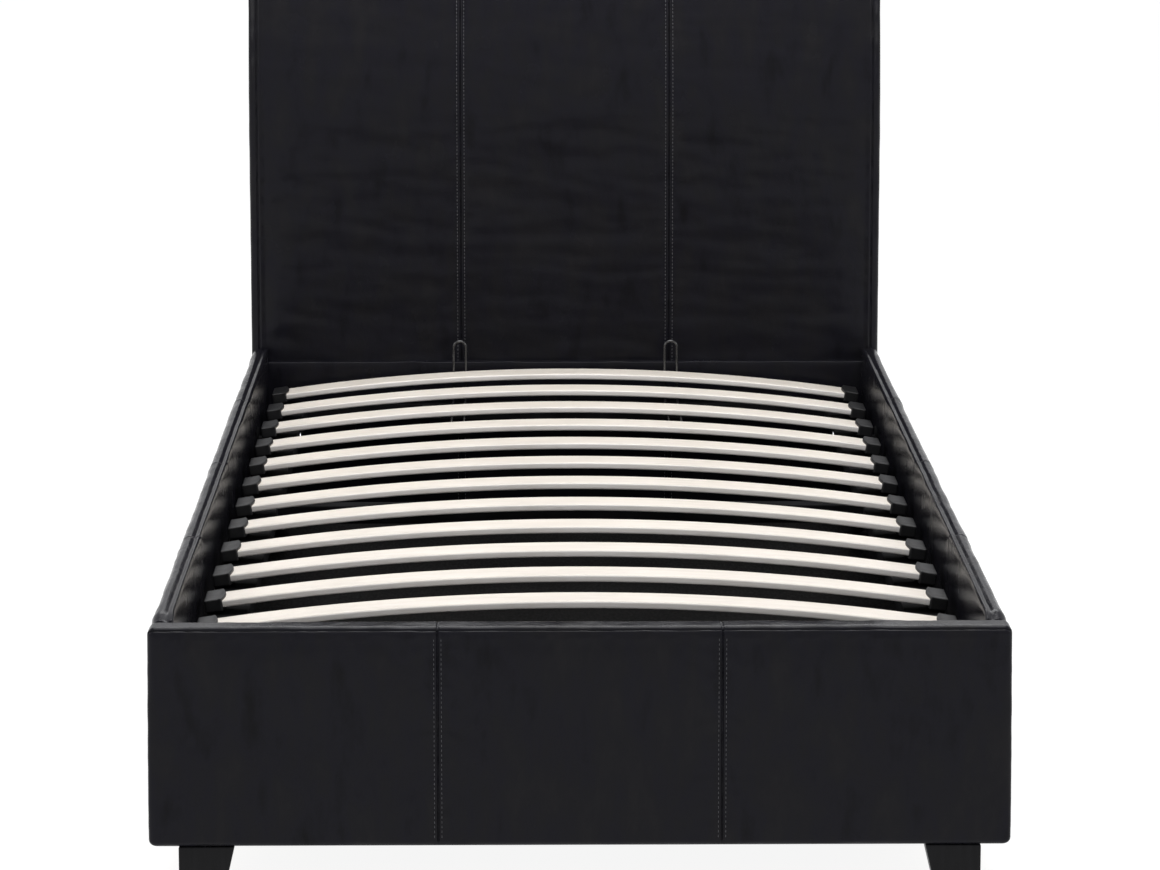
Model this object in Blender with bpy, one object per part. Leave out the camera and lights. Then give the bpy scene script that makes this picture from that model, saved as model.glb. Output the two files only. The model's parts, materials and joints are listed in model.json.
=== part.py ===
"""Single sleigh bed with a sprung slat deck that lifts from the foot end on two gas struts.

Units are metres. +Z is up, -Y is the foot end, +Y the head end. The origin is on the
floor, under the middle of the bed's outer box.
"""

import math

import bmesh
import bpy
from mathutils import Matrix, Vector

# ---- driving dimensions -------------------------------------------------------------
MATTRESS_WIDTH = 0.900
MATTRESS_LENGTH = 1.900
MATTRESS_SIDE_GAP = 0.014  # each side, between mattress and side rail
MATTRESS_END_GAP = 0.020  # each end

FOOT_HEIGHT = 0.060
FOOT_TOP = 0.064  # width and depth where it meets the panel
FOOT_BOTTOM = 0.050
FOOT_SIDE_INSET = 0.031
FOOT_END_INSET = 0.004

RAIL_THICKNESS = 0.026
RAIL_HEIGHT = 0.262
FOOTBOARD_THICKNESS = 0.040
FOOTBOARD_HEIGHT = 0.255
PANEL_EDGE_RADIUS = 0.008
RAIL_CROWN_SHARE = 0.46  # radius of the rail's rounded top, of its thickness
LEDGE_WIDTH = 0.040
LEDGE_HEIGHT = 0.0057

HEADBOARD_HEIGHT = 0.990  # floor to the top of the roll
HEADBOARD_THICKNESS = 0.050
SWEEP_RADIUS = 0.700  # first, gentle part of the sleigh curve
SWEEP_ANGLE = math.radians(20)
ROLL_RADIUS = 0.100  # second, tight part
ROLL_ANGLE = math.radians(70)

HEAD_RAIL_THICKNESS = 0.020
HEAD_RAIL_DROP = 0.0123  # footboard's top edge to the head rail's
HEAD_RAIL_HEIGHT = 0.120
HEAD_RAIL_EDGE_RADIUS = 0.002
FLOOR_THICKNESS = 0.004
FLOOR_EDGE_GAP = 0.004

SLAT_COUNT = 12
SLAT_WIDTH = 0.053
SLAT_THICKNESS = 0.009
SLAT_BOW = 0.033
SLAT_END_DROP = 0.0508  # footboard's top edge to a slat's upper face at its tips
FIRST_SLAT_SETBACK = 0.0765  # headboard face to the middle of the first slat
LAST_SLAT_SETBACK = 0.2135  # footboard's inner face to the middle of the last slat

CAP_TO_RAIL = 0.012
CAP_VISIBLE = 0.021  # front edge of a cap, seen beside the slat
CAP_WALL = 0.0032
CAP_END_WALL = 0.005
CAP_CHAMFER = 0.003
SLAT_TIP_GAP = 0.0012  # inside the cap, so that a bowed slat can flatten
CAP_NOSE = 0.004  # how far the lip bulges along the slat
CAP_SEAT_DEPTH = 0.030
CAP_SEAT_RISE = 0.0028  # deck to the underside of the cap's lower wall at a slat's tip
CAP_SEAT_INSET = 0.003  # from the cap's front edge

DECK_TUBE_WIDTH = 0.050
DECK_TUBE_HEIGHT = 0.025
DECK_TUBE_CORNER = 0.002
DECK_TO_RAIL = 0.014  # a side tube's outer face to the side rail
CROSS_TUBE_WIDTH = 0.030
DECK_HEAD_SETBACK = 0.065  # headboard face to the head end of the steel deck
DECK_FOOT_SETBACK = 0.036  # footboard's inner face to the foot end of the deck

HINGE_SETBACK = 0.330  # headboard face to the hinge line
HINGE_PIN_RADIUS = 0.005
STRUT_STUD_REACH = 0.450  # hinge line to the strut's upper stud, along the deck
STRUT_STUD_DROP = 0.0305
STRUT_FOOT_RISE = 0.0197  # storage floor to the strut's lower pivot, under the hinge line
STRUT_INSET = 0.026  # a side tube's outer face to the middle of the strut
STRUT_TUBE_RADIUS = 0.009
STRUT_ROD_RADIUS = 0.004
STRUT_TUBE_LENGTH = 0.280
STRUT_BORE_START = 0.0384  # along the strut, from its lower pivot
STRUT_ROD_START = 0.0555  # inner end of the rod, with the strut closed
STRUT_PIN_RADIUS = 0.0035
STUD_WASHER_RADIUS = 0.007
STUD_WASHER_THICKNESS = 0.002
PIN_OVERHANG = 0.003  # how far a pin stands out past what turns on it
STRUT_EYE_RADIUS = 0.0105
STRUT_EYE_THICKNESS = 0.006
STRUT_EYE_WELD = 0.0021  # how far a rod or cylinder runs into its eye
STRUT_EYE_LIFT = 0.00265  # rest offset that halves the open pivot's wander
OPEN_PIVOT_CLEARANCE = 0.0032
EAR_THICKNESS = 0.004
EAR_RADIUS = 0.010
EAR_INSET = 0.0125  # a side tube's outer face to the middle of the ear
PLATE_THICKNESS = 0.003
PLATE_RADIUS = 0.018

WIRE_RADIUS = 0.002
RETAINER_WIDTH = 0.023  # over the outside of the wire
RETAINER_RISE = 0.0257  # footboard's top edge to the top of the loop
RETAINER_X = 0.164
RETAINER_SETBACK = 0.043  # headboard face to the middle of the wire
RETAINER_LEG = 0.245
RETAINER_BEND = 0.008

STOP_LENGTH = 0.300
STOP_THICKNESS = 0.003
STOP_HEIGHT = 0.040
STOP_OVERLAP = 0.024  # under the deck's foot tube

GAP = 0.0003  # between faces that touch
RUNNING = 0.0003  # radial, round a pin that turns
STROKE_CLEARANCE = 0.0004

# ---- derived positions --------------------------------------------------------------
WELL_WIDTH = MATTRESS_WIDTH + 2 * MATTRESS_SIDE_GAP
WELL_LENGTH = MATTRESS_LENGTH + 2 * MATTRESS_END_GAP
RAIL_INNER = WELL_WIDTH / 2
OVERALL_WIDTH = WELL_WIDTH + 2 * RAIL_THICKNESS
SWEEP_BACK = SWEEP_RADIUS * (1 - math.cos(SWEEP_ANGLE))
ROLL_BACK = ROLL_RADIUS * (math.cos(SWEEP_ANGLE) - math.cos(SWEEP_ANGLE + ROLL_ANGLE))
HEADBOARD_DEPTH = HEADBOARD_THICKNESS + SWEEP_BACK + ROLL_BACK
OVERALL_LENGTH = FOOTBOARD_THICKNESS + WELL_LENGTH + HEADBOARD_DEPTH
FRONT = -OVERALL_LENGTH / 2
FOOTBOARD_INNER = FRONT + FOOTBOARD_THICKNESS
HEAD_FACE = FOOTBOARD_INNER + WELL_LENGTH
PANEL_BOTTOM = FOOT_HEIGHT + GAP
FOOTBOARD_TOP = PANEL_BOTTOM + FOOTBOARD_HEIGHT
HEAD_RAIL_TOP = FOOTBOARD_TOP - HEAD_RAIL_DROP
FLOOR_TOP = PANEL_BOTTOM + LEDGE_HEIGHT + GAP + FLOOR_THICKNESS

SLAT_END_TOP = FOOTBOARD_TOP - SLAT_END_DROP
SLAT_HALF = RAIL_INNER - CAP_TO_RAIL - CAP_END_WALL - SLAT_TIP_GAP
SLAT_SPAN = WELL_LENGTH - FIRST_SLAT_SETBACK - LAST_SLAT_SETBACK
SLAT_PITCH = SLAT_SPAN / (SLAT_COUNT - 1)
RETAINER_TOP = FOOTBOARD_TOP + RETAINER_RISE

DECK_TOP = SLAT_END_TOP - SLAT_THICKNESS - CAP_WALL - CAP_SEAT_RISE
DECK_MID = DECK_TOP - DECK_TUBE_HEIGHT / 2
DECK_HEAD = HEAD_FACE - DECK_HEAD_SETBACK
DECK_FOOT = FOOTBOARD_INNER + DECK_FOOT_SETBACK
DECK_OUTER = RAIL_INNER - DECK_TO_RAIL
DECK_INNER = DECK_OUTER - DECK_TUBE_WIDTH
HINGE_Y = HEAD_FACE - HINGE_SETBACK
HINGE_Z = DECK_MID

STRUT_X = DECK_OUTER - STRUT_INSET
EAR_X = DECK_OUTER - EAR_INSET
PIN_TIP = STRUT_X - STRUT_EYE_THICKNESS / 2 - PIN_OVERHANG
STUD_Y = HINGE_Y - STRUT_STUD_REACH
STUD_Z = HINGE_Z - STRUT_STUD_DROP
STRUT_FOOT_Z = FLOOR_TOP + STRUT_FOOT_RISE
EYE_Z = STUD_Z + STRUT_EYE_LIFT
STRUT_ANGLE = math.atan2(EYE_Z - STRUT_FOOT_Z, HINGE_Y - STUD_Y)
STRUT_LENGTH = math.hypot(EYE_Z - STRUT_FOOT_Z, HINGE_Y - STUD_Y)

ROUND_STEPS = 24
SHARP_ANGLE = math.radians(35)
OVERSHOOT = 0.010  # how far a cutter runs past what it cuts

for leftover in list(bpy.data.objects):
    bpy.data.objects.remove(leftover, do_unlink=True)


def new_collection(name):
    collection = bpy.data.collections.new(name)
    bpy.context.scene.collection.children.link(collection)
    return collection


BED = new_collection("sleigh_bed")
CUTTERS = new_collection("cutters")
CUTTERS.hide_render = True


def new_material(name, color, roughness, metallic=0.0):
    material = bpy.data.materials.new(name)
    material.use_nodes = True
    shader = material.node_tree.nodes["Principled BSDF"]
    shader.inputs["Base Color"].default_value = (*color, 1)
    shader.inputs["Roughness"].default_value = roughness
    shader.inputs["Metallic"].default_value = metallic
    return material


LEATHER = new_material("black_faux_leather", (0.012, 0.011, 0.012), 0.42)
FOOT_PAINT = new_material("black_foot", (0.010, 0.010, 0.010), 0.35)
BIRCH = new_material("birch_slat", (0.82, 0.78, 0.70), 0.45)
PLASTIC = new_material("black_plastic", (0.012, 0.012, 0.013), 0.45)
STEEL = new_material("black_steel", (0.020, 0.019, 0.019), 0.38, 0.6)
CHROME = new_material("polished_rod", (0.60, 0.60, 0.61), 0.15, 1.0)
LINING = new_material("black_floor", (0.015, 0.014, 0.014), 0.8)

ALONG_X = Matrix(((0, 0, 1), (1, 0, 0), (0, 1, 0))).to_4x4()  # outline holds (y, z)
ALONG_Y = Matrix(((1, 0, 0), (0, 0, -1), (0, 1, 0))).to_4x4()  # outline holds (x, z)
ALONG_Z = Matrix.Identity(4)  # outline holds (x, y)


# ---- shape helpers ------------------------------------------------------------------
def arc(center, radius, start, end, steps):
    """Points round an arc, both ends included; angles in radians."""
    angles = [start + (end - start) * i / steps for i in range(steps + 1)]
    return [(center[0] + radius * math.cos(a), center[1] + radius * math.sin(a)) for a in angles]


def rounded(corners, steps=4):
    """Outline through (x, y, radius) corners, listed anticlockwise, each turned by an arc."""
    points = []
    for index, (x, y, radius) in enumerate(corners):
        here = Vector((x, y))
        before = Vector(corners[index - 1][:2]) - here
        after = Vector(corners[(index + 1) % len(corners)][:2]) - here
        if radius == 0:
            points.append((x, y))
            continue
        half = before.angle(after) / 2
        middle = (before.normalized() + after.normalized()).normalized()
        center = here + middle * radius / math.sin(half)
        first = here + before.normalized() * radius / math.tan(half) - center
        last = here + after.normalized() * radius / math.tan(half) - center
        start = math.atan2(first.y, first.x)
        turn = (math.atan2(last.y, last.x) - start + math.pi) % math.tau - math.pi
        points += arc(center, radius, start, start + turn, steps)
    return points


def box_outline(low, high, radius=0.0):
    (x0, y0), (x1, y1) = low, high
    corners = [(x0, y0, radius), (x1, y0, radius), (x1, y1, radius), (x0, y1, radius)]
    return rounded(corners)


def finish_object(shape, name, material, collection, smooth=True):
    shape.name = name
    shape.data.name = name
    if material:
        shape.data.materials.append(material)
    if smooth:
        shape.data.shade_smooth()
        shape.data.set_sharp_from_angle(angle=SHARP_ANGLE)
    collection.objects.link(shape)
    if collection is CUTTERS:
        shape.hide_render = True
        shape.display_type = "WIRE"
    return shape


def curve_to_mesh(curve_object):
    """The curve's solid as a mesh object with its caps welded on; the curve is removed."""
    bpy.context.scene.collection.objects.link(curve_object)
    bpy.context.view_layer.update()
    graph = bpy.context.evaluated_depsgraph_get()
    mesh = bpy.data.meshes.new_from_object(curve_object.evaluated_get(graph))
    work = bmesh.new()
    work.from_mesh(mesh)
    bmesh.ops.remove_doubles(work, verts=work.verts, dist=1e-6)
    bmesh.ops.recalc_face_normals(work, faces=work.faces)
    work.to_mesh(mesh)
    work.free()
    made = bpy.data.objects.new("made", mesh)
    made.matrix_world = curve_object.matrix_world
    bpy.data.objects.remove(curve_object, do_unlink=True)
    return made


def flat_solid(name, outline, start, end, along, material=None, collection=None):
    """An outline made solid from start to end along the axis that `along` stands for."""
    curve = bpy.data.curves.new(name, "CURVE")
    curve.dimensions = "2D"
    curve.fill_mode = "BOTH"
    curve.extrude = abs(end - start) / 2
    spline = curve.splines.new("POLY")
    spline.points.add(len(outline) - 1)
    for point, (x, y) in zip(spline.points, outline):
        point.co = (x, y, 0, 1)
    spline.use_cyclic_u = True
    holder = bpy.data.objects.new(name, curve)
    middle = (start + end) / 2
    if along is ALONG_Y:
        middle = -middle
    holder.matrix_world = along @ Matrix.Translation((0, 0, middle))
    solid = curve_to_mesh(holder)
    return finish_object(solid, name, material, collection or BED)


def rod(name, radius, start, end, material=None, collection=None):
    """A round bar between two points."""
    start, end = Vector(start), Vector(end)
    mesh = bpy.data.meshes.new(name)
    work = bmesh.new()
    bmesh.ops.create_cone(
        work,
        cap_ends=True,
        segments=ROUND_STEPS,
        radius1=radius,
        radius2=radius,
        depth=(end - start).length,
    )
    work.to_mesh(mesh)
    work.free()
    solid = bpy.data.objects.new(name, mesh)
    turn = (end - start).to_track_quat("Z", "Y").to_matrix().to_4x4()
    solid.matrix_world = Matrix.Translation((start + end) / 2) @ turn
    return finish_object(solid, name, material, collection or BED)


def wire(name, points, material):
    """A bent round wire through the given points."""
    curve = bpy.data.curves.new(name, "CURVE")
    curve.dimensions = "3D"
    curve.bevel_depth = WIRE_RADIUS
    curve.bevel_resolution = 2
    curve.use_fill_caps = True
    spline = curve.splines.new("POLY")
    spline.points.add(len(points) - 1)
    for point, place in zip(spline.points, points):
        point.co = (*place, 1)
    solid = curve_to_mesh(bpy.data.objects.new(name, curve))
    return finish_object(solid, name, material, BED)


def combine(target, other, operation):
    """A Boolean on target that joins or cuts it with the other solid."""
    modifier = target.modifiers.new(operation.lower(), "BOOLEAN")
    modifier.operation = operation
    modifier.object = other
    modifier.solver = "EXACT"


def bake(solid):
    """The evaluated mesh of an object, on its own, so that copies can share it."""
    bpy.context.view_layer.update()
    graph = bpy.context.evaluated_depsgraph_get()
    mesh = bpy.data.meshes.new_from_object(solid.evaluated_get(graph))
    mesh.shade_smooth()
    mesh.set_sharp_from_angle(angle=SHARP_ANGLE)
    return mesh


def pivot(name, place):
    """An empty on a joint's axis, the parent of the pieces that turn about it."""
    empty = bpy.data.objects.new(name, None)
    empty.location = place
    empty.empty_display_size = 0.05
    BED.objects.link(empty)
    bpy.context.view_layer.update()
    return empty


def hang_on(empty, pieces):
    """Parents the pieces and leaves them where they are in the world."""
    for piece in pieces:
        piece.parent = empty
        piece.matrix_parent_inverse = empty.matrix_world.inverted()


# ---- upholstered base ---------------------------------------------------------------
def make_footboard():
    outline = box_outline(
        (FRONT, PANEL_BOTTOM), (FOOTBOARD_INNER, FOOTBOARD_TOP), PANEL_EDGE_RADIUS
    )
    half = OVERALL_WIDTH / 2
    return flat_solid("footboard", outline, -half, half, ALONG_X, LEATHER)


def make_side_rail(side, name):
    """A padded rail with a rounded top and a ledge inside at the bottom for the floor."""
    inner, outer = RAIL_INNER, OVERALL_WIDTH / 2
    ledge = inner - LEDGE_WIDTH
    bottom, top = PANEL_BOTTOM, PANEL_BOTTOM + RAIL_HEIGHT
    crown = RAIL_THICKNESS * RAIL_CROWN_SHARE
    corners = [
        (ledge, bottom, 0),
        (outer, bottom, PANEL_EDGE_RADIUS / 2),
        (outer, top, crown),
        (inner, top, crown),
        (inner, bottom + LEDGE_HEIGHT, 0),
        (ledge, bottom + LEDGE_HEIGHT, 0),
    ]
    outline = rounded(corners)
    if side < 0:
        outline = [(-x, z) for x, z in reversed(outline)]
    start, end = FOOTBOARD_INNER + GAP, HEAD_FACE - GAP
    return flat_solid(name, outline, start, end, ALONG_Y, LEATHER)


def headboard_centerline():
    """(y, z, direction) along the middle of the headboard, from the bottom to the tip."""
    rise = SWEEP_RADIUS * math.sin(SWEEP_ANGLE)
    rise += ROLL_RADIUS * (math.sin(SWEEP_ANGLE + ROLL_ANGLE) - math.sin(SWEEP_ANGLE))
    straight_top = HEADBOARD_HEIGHT - HEADBOARD_THICKNESS / 2 - rise
    start_y = HEAD_FACE + HEADBOARD_THICKNESS / 2
    line = [(start_y, PANEL_BOTTOM, 0.0), (start_y, straight_top, 0.0)]
    sweep_center = (start_y + SWEEP_RADIUS, straight_top)
    for i in range(1, 9):
        a = SWEEP_ANGLE * i / 8
        y = sweep_center[0] - SWEEP_RADIUS * math.cos(a)
        line.append((y, sweep_center[1] + SWEEP_RADIUS * math.sin(a), a))
    joint_y, joint_z, _ = line[-1]
    roll_y = joint_y + ROLL_RADIUS * math.cos(SWEEP_ANGLE)
    roll_z = joint_z - ROLL_RADIUS * math.sin(SWEEP_ANGLE)
    for i in range(1, 11):
        a = SWEEP_ANGLE + ROLL_ANGLE * i / 10
        line.append((roll_y - ROLL_RADIUS * math.cos(a), roll_z + ROLL_RADIUS * math.sin(a), a))
    return line


def make_headboard():
    """The sleigh slab: plumb at the bottom, swept back and rolled over at the top."""
    half = HEADBOARD_THICKNESS / 2
    line = headboard_centerline()
    back = [(y + half * math.cos(a), z - half * math.sin(a)) for y, z, a in line]
    front = [(y - half * math.cos(a), z + half * math.sin(a)) for y, z, a in line]
    tip_y, tip_z, tip = line[-1]
    lip = arc((tip_y, tip_z), half, -tip, math.pi - tip, 8)[1:-1]
    outline = back + lip + front[::-1]
    width = OVERALL_WIDTH / 2
    return flat_solid("headboard", outline, -width, width, ALONG_X, LEATHER)


def make_head_rail():
    """The cross rail in front of the headboard that ties the two side rails."""
    back = HEAD_FACE - GAP
    low = (back - HEAD_RAIL_THICKNESS, HEAD_RAIL_TOP - HEAD_RAIL_HEIGHT)
    outline = box_outline(low, (back, HEAD_RAIL_TOP), HEAD_RAIL_EDGE_RADIUS)
    half = RAIL_INNER - GAP
    return flat_solid("head_rail", outline, -half, half, ALONG_X, LEATHER)


def make_foot(name, side, front_y, toward_head):
    """A block foot, plumb outside and tapered inside; front_y is its outer end face."""
    outer = side * (OVERALL_WIDTH / 2 - FOOT_SIDE_INSET)
    work = bmesh.new()
    rings = []
    for height, size in ((0.0, FOOT_BOTTOM), (FOOT_HEIGHT, FOOT_TOP)):
        inner = outer - side * size
        far = front_y + toward_head * size
        square = [(outer, front_y), (inner, front_y), (inner, far), (outer, far)]
        rings.append([work.verts.new((x, y, height)) for x, y in square])
    work.faces.new(rings[0])
    work.faces.new(rings[1])
    for i in range(4):
        j = (i + 1) % 4
        work.faces.new((rings[0][i], rings[0][j], rings[1][j], rings[1][i]))
    bmesh.ops.recalc_face_normals(work, faces=work.faces)
    mesh = bpy.data.meshes.new(name)
    work.to_mesh(mesh)
    work.free()
    return finish_object(bpy.data.objects.new(name, mesh), name, FOOT_PAINT, BED, smooth=False)


def make_floor():
    """The storage well's floor, lying on the ledges of the side rails."""
    z = FLOOR_TOP - FLOOR_THICKNESS
    half = RAIL_INNER - FLOOR_EDGE_GAP
    low = (-half, FOOTBOARD_INNER + FLOOR_EDGE_GAP)
    outline = box_outline(low, (half, HEAD_FACE - FLOOR_EDGE_GAP))
    return flat_solid("storage_floor", outline, z, z + FLOOR_THICKNESS, ALONG_Z, LINING)


def make_deck_stop():
    """An angle on the footboard that the deck rests on when it is down."""
    back = FOOTBOARD_INNER + GAP
    top = DECK_TOP - DECK_TUBE_HEIGHT - GAP
    reach = back + DECK_FOOT_SETBACK + STOP_OVERLAP
    corners = [
        (back, top - STOP_HEIGHT),
        (back + STOP_THICKNESS, top - STOP_HEIGHT),
        (back + STOP_THICKNESS, top - STOP_THICKNESS),
        (reach, top - STOP_THICKNESS),
        (reach, top),
        (back, top),
    ]
    return flat_solid("deck_stop", corners, -STOP_LENGTH / 2, STOP_LENGTH / 2, ALONG_X, STEEL)


# ---- lifting deck -------------------------------------------------------------------
def slat_height(x):
    """Height of a slat's upper face at x."""
    return SLAT_END_TOP + SLAT_BOW * (1 - (x / SLAT_HALF) ** 2)


def slat_y(index):
    return HEAD_FACE - FIRST_SLAT_SETBACK - index * SLAT_PITCH


def make_slats():
    """Bowed slats that share one mesh; the first is nearest the headboard."""
    steps = 20
    xs = [SLAT_HALF * (2 * i / steps - 1) for i in range(steps + 1)]
    under = [(x, slat_height(x) - SLAT_THICKNESS) for x in xs]
    over = [(x, slat_height(x)) for x in reversed(xs)]
    start, end = -SLAT_WIDTH / 2, SLAT_WIDTH / 2
    first = flat_solid("slat_01", under + over, start, end, ALONG_Y, BIRCH)
    slats = [first]
    for index in range(1, SLAT_COUNT):
        copy = bpy.data.objects.new(f"slat_{index + 1:02d}", first.data)
        BED.objects.link(copy)
        copy.matrix_world = first.matrix_world
        slats.append(copy)
    for index, slat in enumerate(slats):
        slat.location.y += slat_y(index)
    bpy.context.view_layer.update()
    return slats


def make_slat_cap():
    """One right-hand end cap about y = 0: a socket tilted to the slat, on a level seat."""
    outer = RAIL_INNER - CAP_TO_RAIL
    front_edge = outer - CAP_VISIBLE
    half = SLAT_WIDTH / 2 + CAP_WALL
    slope = 2 * SLAT_BOW * (outer - CAP_VISIBLE / 2) / SLAT_HALF**2
    middle = Vector(((outer + front_edge) / 2, 0, 0))
    middle.z = slat_height(middle.x) - SLAT_THICKNESS / 2
    tilt = Matrix.Translation(middle) @ Matrix.Rotation(math.atan(slope), 4, "Y")
    reach = CAP_VISIBLE / 2
    nose_radius = (half**2 + CAP_NOSE**2) / (2 * CAP_NOSE)
    nose_center = (-reach - CAP_NOSE + nose_radius, 0)
    spread = math.asin(half / nose_radius)
    nose = arc(nose_center, nose_radius, math.pi - spread, math.pi + spread, 8)
    cut = CAP_CHAMFER
    outline = nose + [(reach - cut, -half), (reach, -half + cut)]
    outline += [(reach, half - cut), (reach - cut, half)]
    thick = SLAT_THICKNESS / 2 + CAP_WALL
    cap = flat_solid("cap_body", outline, -thick, thick, ALONG_Z, PLASTIC, CUTTERS)
    cap.matrix_world = tilt @ cap.matrix_world
    seat_top = middle.z - SLAT_THICKNESS / 2 - CAP_WALL / 2
    seat_low = (front_edge + CAP_SEAT_INSET, DECK_TOP + GAP)
    seat_high = (DECK_OUTER - GAP, seat_top)
    depth = CAP_SEAT_DEPTH / 2
    seat = flat_solid(
        "cap_seat", box_outline(seat_low, seat_high), -depth, depth, ALONG_Y, None, CUTTERS
    )
    pocket_half = SLAT_WIDTH / 2 + GAP
    pocket_deep = SLAT_THICKNESS / 2 + 2 * GAP
    low = (-reach - CAP_NOSE - OVERSHOOT, -pocket_half)
    high = (reach - CAP_END_WALL + 2 * GAP, pocket_half)
    pocket = flat_solid(
        "cap_pocket", box_outline(low, high), -pocket_deep, pocket_deep, ALONG_Z, None, CUTTERS
    )
    pocket.matrix_world = tilt @ pocket.matrix_world
    combine(cap, seat, "UNION")
    combine(cap, pocket, "DIFFERENCE")
    return bake(cap), cap.matrix_world.copy()


def make_slat_caps():
    """A cap on each end of each slat; the left ones are the right ones mirrored."""
    right_mesh, place = make_slat_cap()
    right_mesh.transform(place)
    left_mesh = right_mesh.copy()
    left_mesh.transform(Matrix.Scale(-1, 4, (1, 0, 0)))
    left_mesh.flip_normals()
    caps = []
    for index in range(SLAT_COUNT):
        for side, mesh in (("left", left_mesh), ("right", right_mesh)):
            cap = bpy.data.objects.new(f"slat_cap_{index + 1:02d}_{side}", mesh)
            cap.location = (0, slat_y(index), 0)
            BED.objects.link(cap)
            caps.append(cap)
    return caps


def make_side_tube(side, name):
    """A deck side tube with its hinge hole, and the ear and stud for the gas strut."""
    outer, inner = side * DECK_OUTER, side * DECK_INNER
    low = (min(outer, inner), DECK_TOP - DECK_TUBE_HEIGHT)
    outline = box_outline(low, (max(outer, inner), DECK_TOP), DECK_TUBE_CORNER)
    tube = flat_solid(name, outline, DECK_FOOT, DECK_HEAD, ALONG_Y, STEEL)
    ear_outline = arc((STUD_Y, STUD_Z), EAR_RADIUS, math.pi, math.tau, 12)
    ear_outline += [(STUD_Y + EAR_RADIUS, DECK_MID), (STUD_Y - EAR_RADIUS, DECK_MID)]
    ear_inner = side * (EAR_X - EAR_THICKNESS / 2)
    ear_outer = side * (EAR_X + EAR_THICKNESS / 2)
    ear = flat_solid(f"{name}_ear", ear_outline, ear_inner, ear_outer, ALONG_X, None, CUTTERS)
    tip = (side * PIN_TIP, STUD_Y, STUD_Z)
    root = (side * EAR_X, STUD_Y, STUD_Z)
    stud = rod(f"{name}_stud", STRUT_PIN_RADIUS, tip, root, None, CUTTERS)
    washer_end = (side * (PIN_TIP - STUD_WASHER_THICKNESS), STUD_Y, STUD_Z)
    washer_start = (side * (PIN_TIP + GAP), STUD_Y, STUD_Z)
    washer = rod(
        f"{name}_washer", STUD_WASHER_RADIUS, washer_end, washer_start, None, CUTTERS
    )
    hole = rod(
        f"{name}_hinge_hole",
        HINGE_PIN_RADIUS + RUNNING,
        (inner - side * OVERSHOOT, HINGE_Y, HINGE_Z),
        (outer + side * OVERSHOOT, HINGE_Y, HINGE_Z),
        None,
        CUTTERS,
    )
    combine(tube, ear, "UNION")
    combine(tube, stud, "UNION")
    combine(tube, washer, "UNION")
    combine(tube, hole, "DIFFERENCE")
    return tube


def make_cross_tube(name, start_y):
    low = (start_y, DECK_TOP - DECK_TUBE_HEIGHT)
    outline = box_outline(low, (start_y + CROSS_TUBE_WIDTH, DECK_TOP), DECK_TUBE_CORNER)
    half = DECK_INNER - GAP
    return flat_solid(name, outline, -half, half, ALONG_X, STEEL)


def make_retainer(side, name):
    """A wire loop that stops the mattress sliding to the head; its legs lie on the deck."""
    y = HEAD_FACE - RETAINER_SETBACK
    half = RETAINER_WIDTH / 2 - WIRE_RADIUS
    leg_z = DECK_TOP + GAP + WIRE_RADIUS
    top = RETAINER_TOP - WIRE_RADIUS
    bend = RETAINER_BEND
    left_leg = [(-half, y - RETAINER_LEG, leg_z), (-half, y - bend, leg_z)]
    for down, along in arc((0, 0), bend, 0, math.pi / 2, 5)[1:]:
        left_leg.append((-half, y - bend + along, leg_z + bend - down))
    crown = [(a, y, top - half + b) for a, b in arc((0, 0), half, math.pi, 0, 10)]
    right_leg = [(half, py, pz) for _, py, pz in reversed(left_leg)]
    points = [(side * RETAINER_X + px, py, pz) for px, py, pz in left_leg + crown + right_leg]
    return wire(name, points, STEEL)


# ---- gas struts and hinge plates ----------------------------------------------------
def make_hinge_plate(side, name):
    """A plate on the side rail with the deck's hinge pin and the strut's lower pin."""
    outer = RAIL_INNER - GAP
    inner = outer - PLATE_THICKNESS
    outline = arc((HINGE_Y, STRUT_FOOT_Z), PLATE_RADIUS, math.pi, math.tau, 12)
    outline += arc((HINGE_Y, HINGE_Z), PLATE_RADIUS, 0, math.pi, 12)
    plate = flat_solid(name, outline, side * inner, side * outer, ALONG_X, STEEL)
    hinge_tip = DECK_INNER - PIN_OVERHANG
    bite = side * (inner + outer) / 2
    for label, radius, tip, z in (
        ("hinge_pin", HINGE_PIN_RADIUS, hinge_tip, HINGE_Z),
        ("strut_pin", STRUT_PIN_RADIUS, PIN_TIP, STRUT_FOOT_Z),
    ):
        start, end = (side * tip, HINGE_Y, z), (bite, HINGE_Y, z)
        pin = rod(f"{name}_{label}", radius, start, end, None, CUTTERS)
        combine(plate, pin, "UNION")
    return plate


def along_strut(side, distance):
    """The point this far along the strut's line from its lower pivot."""
    y = HINGE_Y - distance * math.cos(STRUT_ANGLE)
    return (side * STRUT_X, y, STRUT_FOOT_Z + distance * math.sin(STRUT_ANGLE))


def strut_eye(side, name, distance, hole_radius):
    """An eye disc and the cutter of its hole, at this distance along the strut."""
    x, y, z = along_strut(side, distance)
    half = STRUT_EYE_THICKNESS / 2
    far = half + OVERSHOOT
    disc = rod(f"{name}_eye", STRUT_EYE_RADIUS, (x - half, y, z), (x + half, y, z), None, CUTTERS)
    hole = rod(f"{name}_eye_hole", hole_radius, (x - far, y, z), (x + far, y, z), None, CUTTERS)
    return disc, hole


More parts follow.
